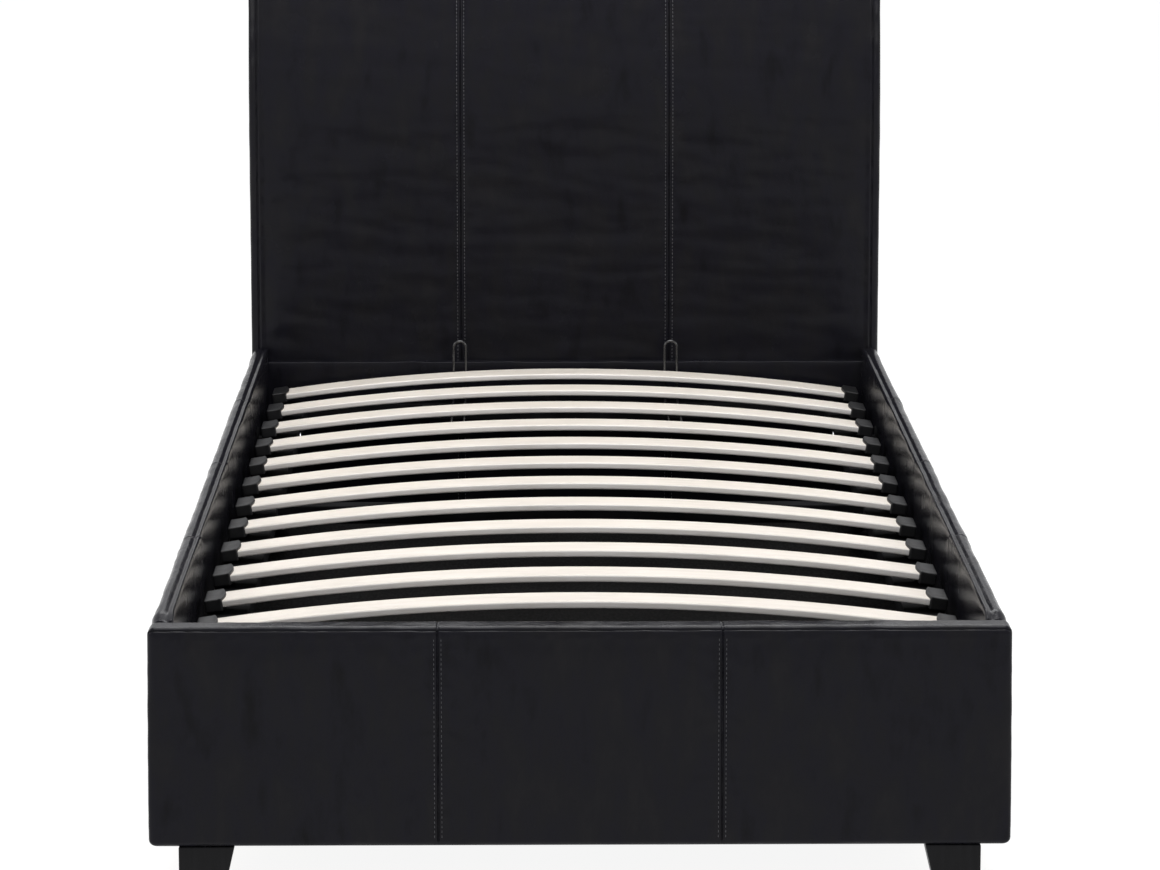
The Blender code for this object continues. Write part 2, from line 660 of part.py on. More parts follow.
def make_strut_tube(side, name):
    """The strut's cylinder with its lower eye, bored for the rod and open at the top."""
    near = STRUT_EYE_RADIUS - STRUT_EYE_WELD
    mouth = near + STRUT_TUBE_LENGTH
    start, end = along_strut(side, near), along_strut(side, mouth)
    tube = rod(name, STRUT_TUBE_RADIUS, start, end, STEEL)
    eye, hole = strut_eye(side, name, 0, STRUT_PIN_RADIUS + RUNNING)
    bore = rod(
        f"{name}_bore",
        STRUT_ROD_RADIUS + STROKE_CLEARANCE,
        along_strut(side, STRUT_BORE_START),
        along_strut(side, mouth + OVERSHOOT),
        None,
        CUTTERS,
    )
    combine(tube, eye, "UNION")
    combine(tube, hole, "DIFFERENCE")
    combine(tube, bore, "DIFFERENCE")
    return tube


def make_strut_rod(side, name):
    """The strut's rod with its upper eye, which goes loosely round the deck's stud."""
    far = STRUT_LENGTH - STRUT_EYE_RADIUS + STRUT_EYE_WELD
    start, end = along_strut(side, STRUT_ROD_START), along_strut(side, far)
    shaft = rod(name, STRUT_ROD_RADIUS, start, end, CHROME)
    eye, hole = strut_eye(side, name, STRUT_LENGTH, STRUT_PIN_RADIUS + OPEN_PIVOT_CLEARANCE)
    combine(shaft, eye, "UNION")
    combine(shaft, hole, "DIFFERENCE")
    return shaft


# ---- assembly -----------------------------------------------------------------------
def build_base():
    make_footboard()
    make_headboard()
    make_head_rail()
    make_floor()
    make_deck_stop()
    front_y = FRONT + FOOT_END_INSET
    rear_y = HEAD_FACE + HEADBOARD_THICKNESS - FOOT_END_INSET
    for side, hand in ((-1, "left"), (1, "right")):
        make_side_rail(side, f"side_rail_{hand}")
        make_foot(f"foot_front_{hand}", side, front_y, 1)
        make_foot(f"foot_rear_{hand}", side, rear_y, -1)
        make_hinge_plate(side, f"hinge_plate_{hand}")


def build_deck():
    hinge = pivot("deck_hinge", (0, HINGE_Y, HINGE_Z))
    pieces = make_slats() + make_slat_caps()
    pieces.append(make_cross_tube("deck_head_tube", DECK_HEAD - CROSS_TUBE_WIDTH))
    pieces.append(make_cross_tube("deck_foot_tube", DECK_FOOT))
    middle = (slat_y(SLAT_COUNT // 2 - 1) + slat_y(SLAT_COUNT // 2)) / 2
    pieces.append(make_cross_tube("deck_middle_tube", middle - CROSS_TUBE_WIDTH / 2))
    for side, hand in ((-1, "left"), (1, "right")):
        pieces.append(make_side_tube(side, f"deck_side_tube_{hand}"))
        pieces.append(make_retainer(side, f"mattress_retainer_{hand}"))
    hang_on(hinge, pieces)


def build_struts():
    for side, hand in ((-1, "left"), (1, "right")):
        foot = pivot(f"strut_pivot_{hand}", (side * STRUT_X, HINGE_Y, STRUT_FOOT_Z))
        tube = make_strut_tube(side, f"gas_strut_tube_{hand}")
        shaft = make_strut_rod(side, f"gas_strut_rod_{hand}")
        hang_on(foot, [tube, shaft])


build_base()
build_deck()
build_struts()
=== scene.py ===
"""Single sleigh bed in black faux leather, with a sprung slat deck that lifts on gas struts.

Run as a script, it loads the measured frame, lets one operator make each piece and one set
the stage. Sizes are in metres. The panel in the 3D view's sidebar lists the operators.
"""

import json
import math

import bmesh
import bpy
import numpy as np
from bpy.props import FloatProperty, FloatVectorProperty, IntProperty, PointerProperty
from mathutils import Matrix, Vector


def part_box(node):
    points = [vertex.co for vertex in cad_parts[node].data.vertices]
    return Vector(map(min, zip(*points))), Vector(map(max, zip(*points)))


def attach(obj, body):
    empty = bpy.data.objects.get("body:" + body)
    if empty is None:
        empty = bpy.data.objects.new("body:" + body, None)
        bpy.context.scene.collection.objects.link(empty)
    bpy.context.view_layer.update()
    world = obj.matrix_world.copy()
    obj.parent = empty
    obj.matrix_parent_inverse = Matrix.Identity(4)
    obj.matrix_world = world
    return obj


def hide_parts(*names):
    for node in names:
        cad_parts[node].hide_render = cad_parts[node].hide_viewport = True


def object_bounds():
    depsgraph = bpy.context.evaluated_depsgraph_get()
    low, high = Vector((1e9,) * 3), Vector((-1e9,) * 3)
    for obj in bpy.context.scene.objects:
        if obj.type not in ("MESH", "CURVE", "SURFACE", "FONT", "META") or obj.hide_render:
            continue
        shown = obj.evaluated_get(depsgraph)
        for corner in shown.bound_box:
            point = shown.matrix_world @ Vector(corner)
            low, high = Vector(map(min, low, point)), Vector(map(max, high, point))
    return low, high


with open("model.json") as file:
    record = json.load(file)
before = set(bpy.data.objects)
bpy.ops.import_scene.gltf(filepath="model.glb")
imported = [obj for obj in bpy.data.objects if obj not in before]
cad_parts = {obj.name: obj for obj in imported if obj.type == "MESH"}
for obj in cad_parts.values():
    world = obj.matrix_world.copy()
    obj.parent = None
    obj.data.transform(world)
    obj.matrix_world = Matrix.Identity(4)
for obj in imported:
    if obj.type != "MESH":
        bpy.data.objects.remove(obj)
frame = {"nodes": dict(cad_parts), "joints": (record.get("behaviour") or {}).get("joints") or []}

bl_info = {
    "name": "Sleigh Bed Pieces",
    "version": (1, 0, 0),
    "blender": (4, 5, 0),
    "location": "View3D > Sidebar > Sleigh Bed",
    "description": "Makes a padded sleigh bed's pieces round its frame",
    "category": "Object",
}

CAD_LOW, CAD_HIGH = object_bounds()
SIDES = (("left", -1), ("right", 1))
SLAT_NODES = [f"slat_{number:02d}" for number in range(1, 13)]

# The headboard's middle line: plumb, then a gentle sweep, then a tight roll.
BOARD_THICKNESS = 0.050
SWEEP_RADIUS = 0.700
SWEEP_ANGLE = math.radians(20)
ROLL_RADIUS = 0.100
ROLL_ANGLE = math.radians(70)


# ---- settings -----------------------------------------------------------------------
PAINT = {"subtype": "COLOR", "min": 0, "max": 1}
LENGTH = {"unit": "LENGTH"}


class SleighLeatherSettings(bpy.types.PropertyGroup):
    color: FloatVectorProperty(
        name="Leather Colour",
        description="Colour of the faux leather's body",
        default=(0.0089, 0.0087, 0.0107),
        **PAINT,
    )
    # Grey rather than black: the thread's own colour plus painted highlight for the stitches'
    # glints.
    thread_and_glint_color: FloatVectorProperty(
        name="Thread Colour",
        description="Colour of the sewing thread",
        default=(0.060, 0.060, 0.066),
        **PAINT,
    )
    seam_offset: FloatProperty(
        name="Seam Offset",
        description="From the middle of the bed to each upright seam",
        default=0.162,
        **LENGTH,
    )
    seam_depth: FloatProperty(
        name="Seam Depth",
        description="How deep a seam pulls the cover into its foam",
        default=0.0019,
        **LENGTH,
    )
    pillow: FloatProperty(
        name="Pillow",
        description="How far a panel swells between its seams",
        default=0.0030,
        **LENGTH,
    )
    stitch_pitch: FloatProperty(
        name="Stitch Pitch",
        description="From one stitch to the next",
        default=0.0056,
        **LENGTH,
    )


class SleighSlatSettings(bpy.types.PropertyGroup):
    color: FloatVectorProperty(
        name="Birch Colour",
        description="Colour of the slats' face veneer",
        default=(0.915, 0.880, 0.842),
        **PAINT,
    )
    glue_color: FloatVectorProperty(
        name="Glue Line Colour",
        description="Colour of the dark lines between the veneers",
        default=(0.36, 0.30, 0.22),
        **PAINT,
    )
    veneers: IntProperty(
        name="Veneers", description="Number of layers in a slat", default=7, min=3
    )
    thickness: FloatProperty(
        name="Slat Thickness", description="Thickness of a slat", default=0.009, **LENGTH
    )
    edge_radius: FloatProperty(
        name="Slat Edge Radius",
        description="Rounding of a slat's long edges",
        default=0.0024,
        **LENGTH,
    )


class SleighSteelSettings(bpy.types.PropertyGroup):
    color: FloatVectorProperty(
        name="Steel Colour",
        description="Colour of the powder coat on the deck and its hardware",
        default=(0.0062, 0.0062, 0.0067),
        **PAINT,
    )
    plastic_color: FloatVectorProperty(
        name="Plastic Colour",
        description="Colour of the moulded caps",
        default=(0.009, 0.009, 0.0098),
        **PAINT,
    )
    wire_radius: FloatProperty(
        name="Wire Radius",
        description="Radius of the mattress retainers' wire",
        default=0.002,
        **LENGTH,
    )


class SleighStageSettings(bpy.types.PropertyGroup):
    lens: FloatProperty(
        name="Lens",
        description="Focal length in millimetres on a 36 mm sensor",
        default=140.0,
        unit="CAMERA",
    )
    distance: FloatProperty(
        name="Camera Distance",
        description="From the footboard's front to the camera, along the floor",
        default=4.99,
        **LENGTH,
    )
    height: FloatProperty(
        name="Camera Height",
        description="Height of the camera above the floor",
        default=1.432,
        **LENGTH,
    )
    across: FloatProperty(
        name="Camera Offset",
        description="How far the camera stands off the bed's middle line",
        default=-0.060,
        **LENGTH,
    )
    pitch: FloatProperty(
        name="Camera Pitch",
        description="How far the camera looks down",
        default=math.radians(10.157),
        subtype="ANGLE",
    )
    yaw: FloatProperty(
        name="Camera Yaw",
        description="How far the camera turns to the right",
        default=math.radians(0.686),
        subtype="ANGLE",
    )


# ---- materials ----------------------------------------------------------------------
def add_node(tree, kind, inputs=None, **settings):
    """A shader node with its settings and the default values of its inputs."""
    node = tree.nodes.new("ShaderNode" + kind)
    for key, value in settings.items():
        setattr(node, key, value)
    for key, value in (inputs or {}).items():
        node.inputs[key].default_value = value
    return node


def new_material(name, color, roughness, metallic=0.0, specular=0.5):
    material = bpy.data.materials.new(name)
    material.use_nodes = True
    shader = material.node_tree.nodes["Principled BSDF"]
    shader.inputs["Base Color"].default_value = (*color, 1)
    shader.inputs["Roughness"].default_value = roughness
    shader.inputs["Metallic"].default_value = metallic
    shader.inputs["Specular IOR Level"].default_value = specular
    return material, material.node_tree, shader


def on_piece(tree, node):
    """Lays a texture in the piece's own metres."""
    place = add_node(tree, "TexCoord")
    tree.links.new(place.outputs["Object"], node.inputs["Vector"])


def noise_map(tree, scale, detail=3.0, stretch=(1, 1, 1), roughness=0.5):
    """A noise in the piece's own metres, stretched by a mapping."""
    mapping = add_node(tree, "Mapping", {"Scale": stretch})
    on_piece(tree, mapping)
    values = {"Scale": scale, "Detail": detail, "Roughness": roughness}
    noise = add_node(tree, "TexNoise", values)
    tree.links.new(mapping.outputs["Vector"], noise.inputs["Vector"])
    return noise.outputs["Fac"]


def ramp(tree, source, stops):
    """A colour ramp on a value; stops are (position, colour)."""
    node = add_node(tree, "ValToRGB")
    elements = node.color_ramp.elements
    while len(elements) < len(stops):
        elements.new(0.5)
    for element, (position, color) in zip(elements, stops):
        element.position = position
        element.color = (*color, 1)
    tree.links.new(source, node.inputs["Fac"])
    return node.outputs["Color"]


def remap(tree, source, low, high, start=0.3, end=0.7):
    """A value's range from start to end, spread from low to high."""
    values = {"From Min": start, "From Max": end, "To Min": low, "To Max": high}
    node = add_node(tree, "MapRange", values)
    tree.links.new(source, node.inputs["Value"])
    return node.outputs["Result"]


def shade(color, factor):
    return tuple(min(1, channel * factor) for channel in color)


def tint(tree, shader, source, stops):
    tree.links.new(ramp(tree, source, stops), shader.inputs["Base Color"])


def roughen(tree, shader, source, low, high):
    tree.links.new(remap(tree, source, low, high), shader.inputs["Roughness"])


def bump(tree, shader, height, distance, strength, before=None):
    """Adds relief, over the relief of an earlier bump if there is one."""
    node = add_node(tree, "Bump", {"Distance": distance, "Strength": strength})
    tree.links.new(height, node.inputs["Height"])
    if before:
        tree.links.new(before, node.inputs["Normal"])
    tree.links.new(node.outputs["Normal"], shader.inputs["Normal"])
    return node.outputs["Normal"]


def leather():
    """Coated faux leather: fine pebble grain, soft creases, and painted sheen in random darker
    and lighter, warmer patches of colour.
    """
    name = "soft_black_leather"
    if name in bpy.data.materials:
        return bpy.data.materials[name]
    color = tuple(bpy.context.scene.sleigh_leather.color)
    material, tree, shader = new_material(name, color, 0.4, specular=0.085)
    # Painted sheen: this noise makes the leather's colour darker in some patches and lighter and
    # warmer in others.
    painted_sheen = noise_map(tree, 30.0, 6.0, (1, 1, 0.38), 0.58)
    cool = (color[0] * 0.95, color[1] * 0.95, color[2] * 1.08)
    warm = (color[0] * 1.40, color[1] * 1.36, color[2] * 1.22)
    stops = ((0.24, shade(color, 0.50)), (0.44, cool), (0.56, color), (0.80, warm))
    tint(tree, shader, painted_sheen, stops)
    roughen(tree, shader, noise_map(tree, 16.0, 5.0), 0.15, 0.29)
    creases = noise_map(tree, 42.0, 3.0, (1, 1, 0.6))
    soft = bump(tree, shader, creases, 0.0014, 0.5)
    grain = add_node(tree, "TexVoronoi", {"Scale": 780.0}, feature="SMOOTH_F1")
    on_piece(tree, grain)
    bump(tree, shader, grain.outputs["Distance"], 0.00022, 0.55, soft)
    return material


def birch(settings):
    """Laminated birch: pale figured face, and glue lines on the edges."""
    color = tuple(settings.color)
    material, tree, shader = new_material("laminated_birch", color, 0.42, specular=0.35)
    figure = noise_map(tree, 9.0, 7.0, (1.0, 14.0, 1.0))
    pale = (min(1, color[0] * 1.05), min(1, color[1] * 1.06), min(1, color[2] * 1.09))
    face = ramp(tree, figure, ((0.34, shade(color, 0.90)), (0.52, color), (0.72, pale)))
    fibre = noise_map(tree, 160.0, 3.0, (0.25, 6.0, 6.0))
    fine = ramp(tree, fibre, ((0.38, (0.93, 0.92, 0.90)), (0.55, (1, 1, 1))))
    both = add_node(tree, "Mix", data_type="RGBA", blend_type="MULTIPLY")
    both.inputs["Factor"].default_value = 1.0
    tree.links.new(face, both.inputs["A"])
    tree.links.new(fine, both.inputs["B"])
    layers = add_node(tree, "UVMap", uv_map="veneer")
    split = add_node(tree, "SeparateXYZ")
    tree.links.new(layers.outputs["UV"], split.inputs["Vector"])
    count = add_node(tree, "Math", {1: settings.veneers}, operation="MULTIPLY")
    tree.links.new(split.outputs["Y"], count.inputs[0])
    tooth = add_node(tree, "Math", {1: 0.5}, operation="PINGPONG")
    tree.links.new(count.outputs["Value"], tooth.inputs[0])
    line = remap(tree, tooth.outputs["Value"], 0.50, 0.0, 0.02, 0.16)
    cut = add_node(tree, "Mix", data_type="RGBA")
    cut.inputs["B"].default_value = (*settings.glue_color, 1)
    tree.links.new(line, cut.inputs["Factor"])
    tree.links.new(both.outputs["Result"], cut.inputs["A"])
    tree.links.new(cut.outputs["Result"], shader.inputs["Base Color"])
    roughen(tree, shader, figure, 0.36, 0.52)
    bump(tree, shader, fibre, 0.00025, 0.4)
    return material


def finish(name, color, tone, tones, rough, relief, fine=None, specular=0.5, metallic=0.0):
    """A coloured, mottled finish, made the first time that a piece asks for it.

    The tone is a noise (scale, detail, stretch) that carries the tones, as (position, share
    of the colour), and the roughness, as a range or one number. The relief (distance,
    strength) follows the tone as well, or a fine noise of its own.
    """
    if name in bpy.data.materials:
        return bpy.data.materials[name]
    even = rough if isinstance(rough, float) else rough[0]
    material, tree, shader = new_material(name, color, even, metallic, specular)
    mottle = noise_map(tree, *tone)
    tint(tree, shader, mottle, [(place, shade(color, share)) for place, share in tones])
    if not isinstance(rough, float):
        roughen(tree, shader, mottle, *rough)
    bump(tree, shader, noise_map(tree, *fine) if fine else mottle, *relief)
    return material


def thread():
    """Twisted, waxed thread, glossier than the cover; its grey colour is partly the thread's own
    and partly painted highlight for the stitches' glints.
    """
    color = tuple(bpy.context.scene.sleigh_leather.thread_and_glint_color)
    twist, tones, relief = (1400.0, 2.0), ((0.35, 0.6), (0.65, 1.5)), (0.0001, 0.6)
    return finish("sewing_thread", color, twist, tones, 0.3, relief, specular=0.6)


def black_lacquer():
    """Black lacquer over a straight-grained wooden block."""
    grain = (55.0, 6.0, (3.0, 3.0, 0.35))
    color, tones = (0.0045, 0.0044, 0.0052), ((0.35, 0.7), (0.70, 1.5))
    rough, relief = (0.30, 0.46), (0.0004, 0.5)
    return finish("black_lacquer", color, grain, tones, rough, relief, specular=0.15)


def plastic():
    """Moulded polypropylene with a fine spark-eroded texture."""
    color = tuple(bpy.context.scene.sleigh_steel.plastic_color)
    flow, spark = (45.0, 3.0), (1500.0, 2.0)
    tones, rough, relief = ((0.30, 0.8), (0.70, 1.3)), (0.36, 0.50), (0.00012, 0.5)
    return finish("cap_plastic", color, flow, tones, rough, relief, spark, specular=0.35)


def powder_steel():
    """Powder-coated steel with its slight orange peel."""
    color = tuple(bpy.context.scene.sleigh_steel.color)
    scuffs, peel = (24.0, 8.0, (1, 0.4, 1)), (420.0, 2.0)
    tones, rough, relief = ((0.35, 0.8), (0.72, 1.7)), (0.66, 0.82), (0.0002, 0.35)
    return finish("powder_steel", color, scuffs, tones, rough, relief, peel, specular=0.03)


def wire_lacquer():
    """Glossy black dip on the retainers' wire, faintly mottled."""
    color, tones = (0.018, 0.018, 0.019), ((0.35, 0.7), (0.70, 1.5))
    rough, relief = (0.14, 0.28), (0.0002, 0.4)
    return finish("wire_lacquer", color, (90.0, 4.0), tones, rough, relief, specular=0.9)


def bright_metal(name, color, rough):
    """Plated or polished metal with fine turning marks."""
    marks, tones, relief = (300.0, 3.0, (1, 1, 6)), ((0.3, 0.82), (0.7, 1.0)), (0.00005, 0.4)
    return finish(name, color, marks, tones, rough, relief, metallic=1.0)


def zinc():
    return bright_metal("zinc_plate", (0.55, 0.55, 0.57), (0.25, 0.4))


def chrome():
    return bright_metal("strut_chrome", (0.72, 0.72, 0.74), (0.08, 0.2))


def sawn_pine():
    """Sawn pine for the battens that carry the floor."""
    rings = (30.0, 6.0, (5.0, 0.25, 5.0))
    color, tones = (0.52, 0.38, 0.22), ((0.32, 0.6), (0.50, 1.0), (0.70, 1.3))
    rough, relief = (0.6, 0.8), (0.0005, 0.5)
    return finish("sawn_pine", color, rings, tones, rough, relief, specular=0.3)


def faced_board():
    """Black-faced hardboard with a faint pressed weave."""
    color = (0.0060, 0.0057, 0.0057)
    material, tree, shader = new_material("faced_board", color, 0.7, specular=0.07)
    fibre = noise_map(tree, 240.0, 5.0, (1, 0.35, 1))
    stops = ((0.35, shade(color, 0.75)), (0.65, shade(color, 1.35)))
    tint(tree, shader, noise_map(tree, 5.0, 4.0), stops)
    roughen(tree, shader, fibre, 0.62, 0.82)
    bump(tree, shader, fibre, 0.0003, 0.5)
    return material


def dust_cloth():
    """Black spun-bonded cloth that closes the headboard's back."""
    color = (0.014, 0.014, 0.015)
    material, tree, shader = new_material("dust_cloth", color, 0.9, specular=0.15)
    dimples = add_node(tree, "TexVoronoi", {"Scale": 520.0})
    on_piece(tree, dimples)
    stops = ((0.1, shade(color, 0.6)), (0.6, shade(color, 1.3)))
    tint(tree, shader, dimples.outputs["Distance"], stops)
    bump(tree, shader, dimples.outputs["Distance"], 0.0003, 0.6)
    return material


# ---- mesh helpers -------------------------------------------------------------------
def link_piece(name, data):
    piece = bpy.data.objects.new(name, data)
    bpy.context.scene.collection.objects.link(piece)
    return piece


def mesh_piece(name, points, faces, material, sharp=None):
    """A smooth-shaded mesh object; edges past the sharp angle, in degrees, stay crisp."""
    mesh = bpy.data.meshes.new(name)
    faces = faces if isinstance(faces, list) else faces.tolist()
    mesh.from_pydata(np.asarray(points).tolist(), [], faces)
    mesh.materials.append(material)
    mesh.shade_smooth()
    if sharp:
        mesh.set_sharp_from_angle(angle=math.radians(sharp))
    return link_piece(name, mesh)


def settle(piece, body, slot, *nodes):
    """Rides the piece on its body and hides the nodes that it stands for. The slot is not used.
    """
    if nodes:
        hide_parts(*nodes)
    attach(piece, body)
    return piece


# Shares of a rounded edge, and of the reach beside a seam, where grid lines lie closer.
EASE = np.array([0, 0.08, 0.2, 0.38, 0.6, 0.8, 1.0])
NEAR_SEAM = np.array([0.035, 0.07, 0.11, 0.16, 0.22, 0.3, 0.4, 0.55, 0.75, 1.0])


def grid_line(start, end, step, edge, fine=(), reach=0.018):
    """Places from start to end, a step apart, closer near both ends and round each fine one."""
    near_edge = edge * EASE
    near_seam = reach * NEAR_SEAM
    kept = [start + near_edge, end - near_edge]
    for place in fine:
        kept += [place + near_seam, place - near_seam, np.array([place])]
    kept = np.concatenate(kept)
    kept = np.unique(np.round(kept[(kept >= start) & (kept <= end)], 6))
    count = max(2, round((end - start) / step))
    plain = np.linspace(start, end, count + 1)
    far = np.abs(plain[:, None] - kept[None, :]).min(axis=1) > step * 0.45
    return np.unique(np.concatenate([kept, plain[far]]))


def block_grid(lines):
    """Points and quads over a box's surface, with grid lines at the given places."""
    counts = [len(line) for line in lines]
    quads = []
    for axis in range(3):
        u, v = (axis + 1) % 3, (axis + 2) % 3
        iu, iv = np.meshgrid(np.arange(counts[u] - 1), np.arange(counts[v] - 1), indexing="ij")
        for level, order in ((0, (0, 3, 2, 1)), (counts[axis] - 1, (0, 1, 2, 3))):
            corners = []
            for du, dv in ((0, 0), (1, 0), (1, 1), (0, 1)):
                place = [None, None, None]
                place[axis] = np.full_like(iu, level)
                place[u] = iu + du
                place[v] = iv + dv
                corners.append((place[0] * counts[1] + place[1]) * counts[2] + place[2])
            quads.append(np.stack([corners[c].ravel() for c in order], axis=1))
    used, faces = np.unique(np.concatenate(quads), return_inverse=True)
    i, rest = np.divmod(used, counts[1] * counts[2])
    j, k = np.divmod(rest, counts[2])
    points = np.stack([lines[0][i], lines[1][j], lines[2][k]], axis=1)
    return points, faces.reshape(-1, 4)


def settle_cover(node, points, faces, fill):
    """A leather cover on the base, in its node's place, whose node it hides. The fill is not
    used.
    """
    cover = mesh_piece(f"{node}_cover", points, faces, leather())
    settle(cover, "base", "faux_leather", node)


def round_off(points, low, high, radius):
    """Rounds a box's edges and corners. The radius is one number, three, or three a point."""
    radius = np.broadcast_to(np.asarray(radius, float), points.shape)
    inner = np.clip(points, np.asarray(low) + radius, np.asarray(high) - radius)
    away = (points - inner) / radius
    normals = away / np.linalg.norm(away, axis=1, keepdims=True)
    return inner + normals * radius, normals


def rounded_block(low, high, steps, edge, radius):
    """Points, normals and quads of a box with rounded edges; steps and edge may be three."""
    edges = np.broadcast_to(edge, 3)
    lines = [grid_line(*ends) for ends in zip(low, high, steps, edges)]
    points, faces = block_grid(lines)
    points, normals = round_off(points, low, high, radius)
    return points, normals, faces


def facing(normals, axis, side, power=2):
    """How squarely each point faces an axis: 1 straight on, 0 at its edge and behind."""
    return np.clip(side * normals[:, axis], 0, 1) ** power


def mirrored(points, faces, side):
    """Points and faces as they are on the right, or turned over for the left side."""
    return points * np.array((side, 1, 1)), faces if side > 0 else faces[:, ::-1]


def ring_faces(rings, sides, first=0):
    """Quads round a row of rings of points, closed at both ends."""
    faces = []
    for here in range(first, first + (rings - 1) * sides, sides):
        for step in range(sides):
            after = (step + 1) % sides
            there = here + sides
            faces.append((here + step, here + after, there + after, there + step))
    last = first + (rings - 1) * sides
    faces.append(tuple(first + step for step in reversed(range(sides))))
    faces.append(tuple(last + step for step in range(sides)))
    return faces


def ripple(u, v, length, seed, count=28):
    """Smooth random waves over a surface, about 1 high, with features of this length."""
    random = np.random.default_rng(seed)
    total = np.zeros_like(u)
    for _ in range(count):
        angle = random.uniform(0, math.tau)
        turns = math.tau / (length * random.uniform(0.6, 1.7))
        wave = turns * (u * math.cos(angle) + v * math.sin(angle))
        total += np.sin(wave + random.uniform(0, math.tau))
    return total * math.sqrt(2 / count) / 1.6


def bell(distance, width):
    """1 on a line, fading to 0 beside it."""
    return np.exp(-((distance / width) ** 2))


def gathers(distance, along, reach, seed, length=0.016):
    """Short folds that run off a seam and fade with the distance from it."""
    fold = ripple(along + 0.25 * distance, distance * 0.35, length, seed)
    return np.clip(fold, -0.5, 1.2) * bell(distance, reach) * (distance > 0.0008)


def seam_dip(distance, depth, row=None):
    """The valley that a seam makes, with a shallow furrow on each side for its stitch rows."""
    dip = -depth * bell(distance, 0.0012)
    dip += depth * 0.16 * bell(np.abs(distance) - 0.0030, 0.0018)
    if row:
        dip -= depth * 0.20 * bell(np.abs(distance) - row, 0.0013)
    return dip


def upright_seams(x, along, settings, row, reach, seed):
    """A board's two sewn seams, with its cover gathered on both sides of each."""
    height = np.zeros_like(x)
    for index, seam in enumerate((-settings.seam_offset, settings.seam_offset)):
        height += seam_dip(x - seam, settings.seam_depth, row)
        height += 0.0006 * gathers(np.abs(x - seam), along, reach, seed + index)
    return height


def pillow_rise(place, seams, rise):
    """A crown between each two neighbouring seams, flat-topped and steep at the seams."""
    height = np.zeros_like(place)
    for start, end in zip(seams[:-1], seams[1:]):
        inside = (place >= start) & (place <= end)
        share = np.abs(2 * (place - start) / (end - start) - 1)
        height = np.where(inside, rise * (1 - share**8), height)
    return height


# A stitch's outline: (place along it, thickness, lift), as shares of its length and radius.
STITCH_OUTLINE = (
    (-0.5, 0.25, -0.7),
    (-0.36, 0.9, 0.0),
    (0.0, 1.0, 0.25),
    (0.36, 0.9, 0.0),
    (0.5, 0.25, -0.7),
)
STITCH_SIDES = 6


def rows_of_stitches(name, centers, along, outward, length, radius):
    """Thread stitches: one small spindle at each centre, laid along its seam."""
    along = along / np.linalg.norm(along, axis=1, keepdims=True)
    outward = outward / np.linalg.norm(outward, axis=1, keepdims=True)
    across = np.cross(along, outward)
    shape = []
    for place, size, lift in STITCH_OUTLINE:
        for step in range(STITCH_SIDES):
            angle = math.tau * step / STITCH_SIDES
            up = size * math.sin(angle) + lift
            shape.append((place * length, up * radius, size * math.cos(angle) * radius))
    shape = np.array(shape)
    points = centers[:, None, :] + shape[None, :, 0:1] * along[:, None, :]
    points = points + shape[None, :, 1:2] * outward[:, None, :]
    points = points + shape[None, :, 2:3] * across[:, None, :]
    faces = []
    for first in range(0, len(centers) * len(shape), len(shape)):
        faces += ring_faces(len(STITCH_OUTLINE), STITCH_SIDES, first)
    return mesh_piece(name, points.reshape(-1, 3), faces, thread())


def seam_stitches(name, settings, lengths, row, surface, carry, share, radius):
    """Stitches on both sides of a board's upright seams, carried to where its front is."""
    rows = []
    for seam in (-settings.seam_offset, settings.seam_offset):
        for offset in (-row, row):
            x = np.full_like(lengths, seam + offset)
            rows.append(np.stack([x, surface(x, lengths), lengths], axis=1))
    flat = np.concatenate(rows)
    centers = carry(flat)
    along = carry(flat + np.array([0, 0, 0.001])) - centers
    outward = carry(flat - np.array([0, 0.001, 0])) - centers
    length = settings.stitch_pitch * share
    return rows_of_stitches(name, centers, along, outward, length, radius)


def tube_piece(name, points, radius, material, cyclic=False, sides=4):
    """A round wire or bead through the points."""
    curve = bpy.data.curves.new(name, "CURVE")
    curve.dimensions = "3D"
    curve.bevel_depth = radius
    curve.bevel_resolution = sides
    curve.use_fill_caps = True
    spline = curve.splines.new("POLY")
    spline.points.add(len(points) - 1)
    for point, place in zip(spline.points, points):
        point.co = (*place, 1)
    spline.use_cyclic_u = cyclic
    curve.materials.append(material)
    return link_piece(name, curve)


def refined_copy(name, node, material, bevel=0.0, segments=2):
    """A welded copy of a frame node, with its edges eased and its round faces smooth."""
    work = bmesh.new()
    work.from_mesh(frame["nodes"][node].data)
    bmesh.ops.remove_doubles(work, verts=work.verts, dist=1e-6)
    bmesh.ops.dissolve_limit(
        work, angle_limit=math.radians(1), verts=work.verts, edges=work.edges
    )
    if bevel:
        edges = [e for e in work.edges if e.is_manifold and e.calc_face_angle() > 0.6]
        bmesh.ops.bevel(
            work,
            geom=edges,
            offset=bevel,
            segments=segments,
            profile=0.5,
            affect="EDGES",
            clamp_overlap=True,
        )
    mesh = bpy.data.meshes.new(name)
    work.to_mesh(mesh)
    work.free()
    mesh.materials.append(material)
    mesh.shade_smooth()
    mesh.set_sharp_from_angle(angle=math.radians(35))
    return link_piece(name, mesh)


def turned_piece(name, profile, base, axis, material, steps=24):
    """A piece turned about an axis; the profile holds (radius, height) from its base."""
    turn = Vector(axis).to_track_quat("Z", "Y").to_matrix()
    points = []
    for radius, height in profile:
        for step in range(steps):
            angle = math.tau * step / steps
            spot = Vector((radius * math.cos(angle), radius * math.sin(angle), height))
            points.append(tuple(Vector(base) + turn @ spot))
    return mesh_piece(name, points, ring_faces(len(profile), steps), material, 40)


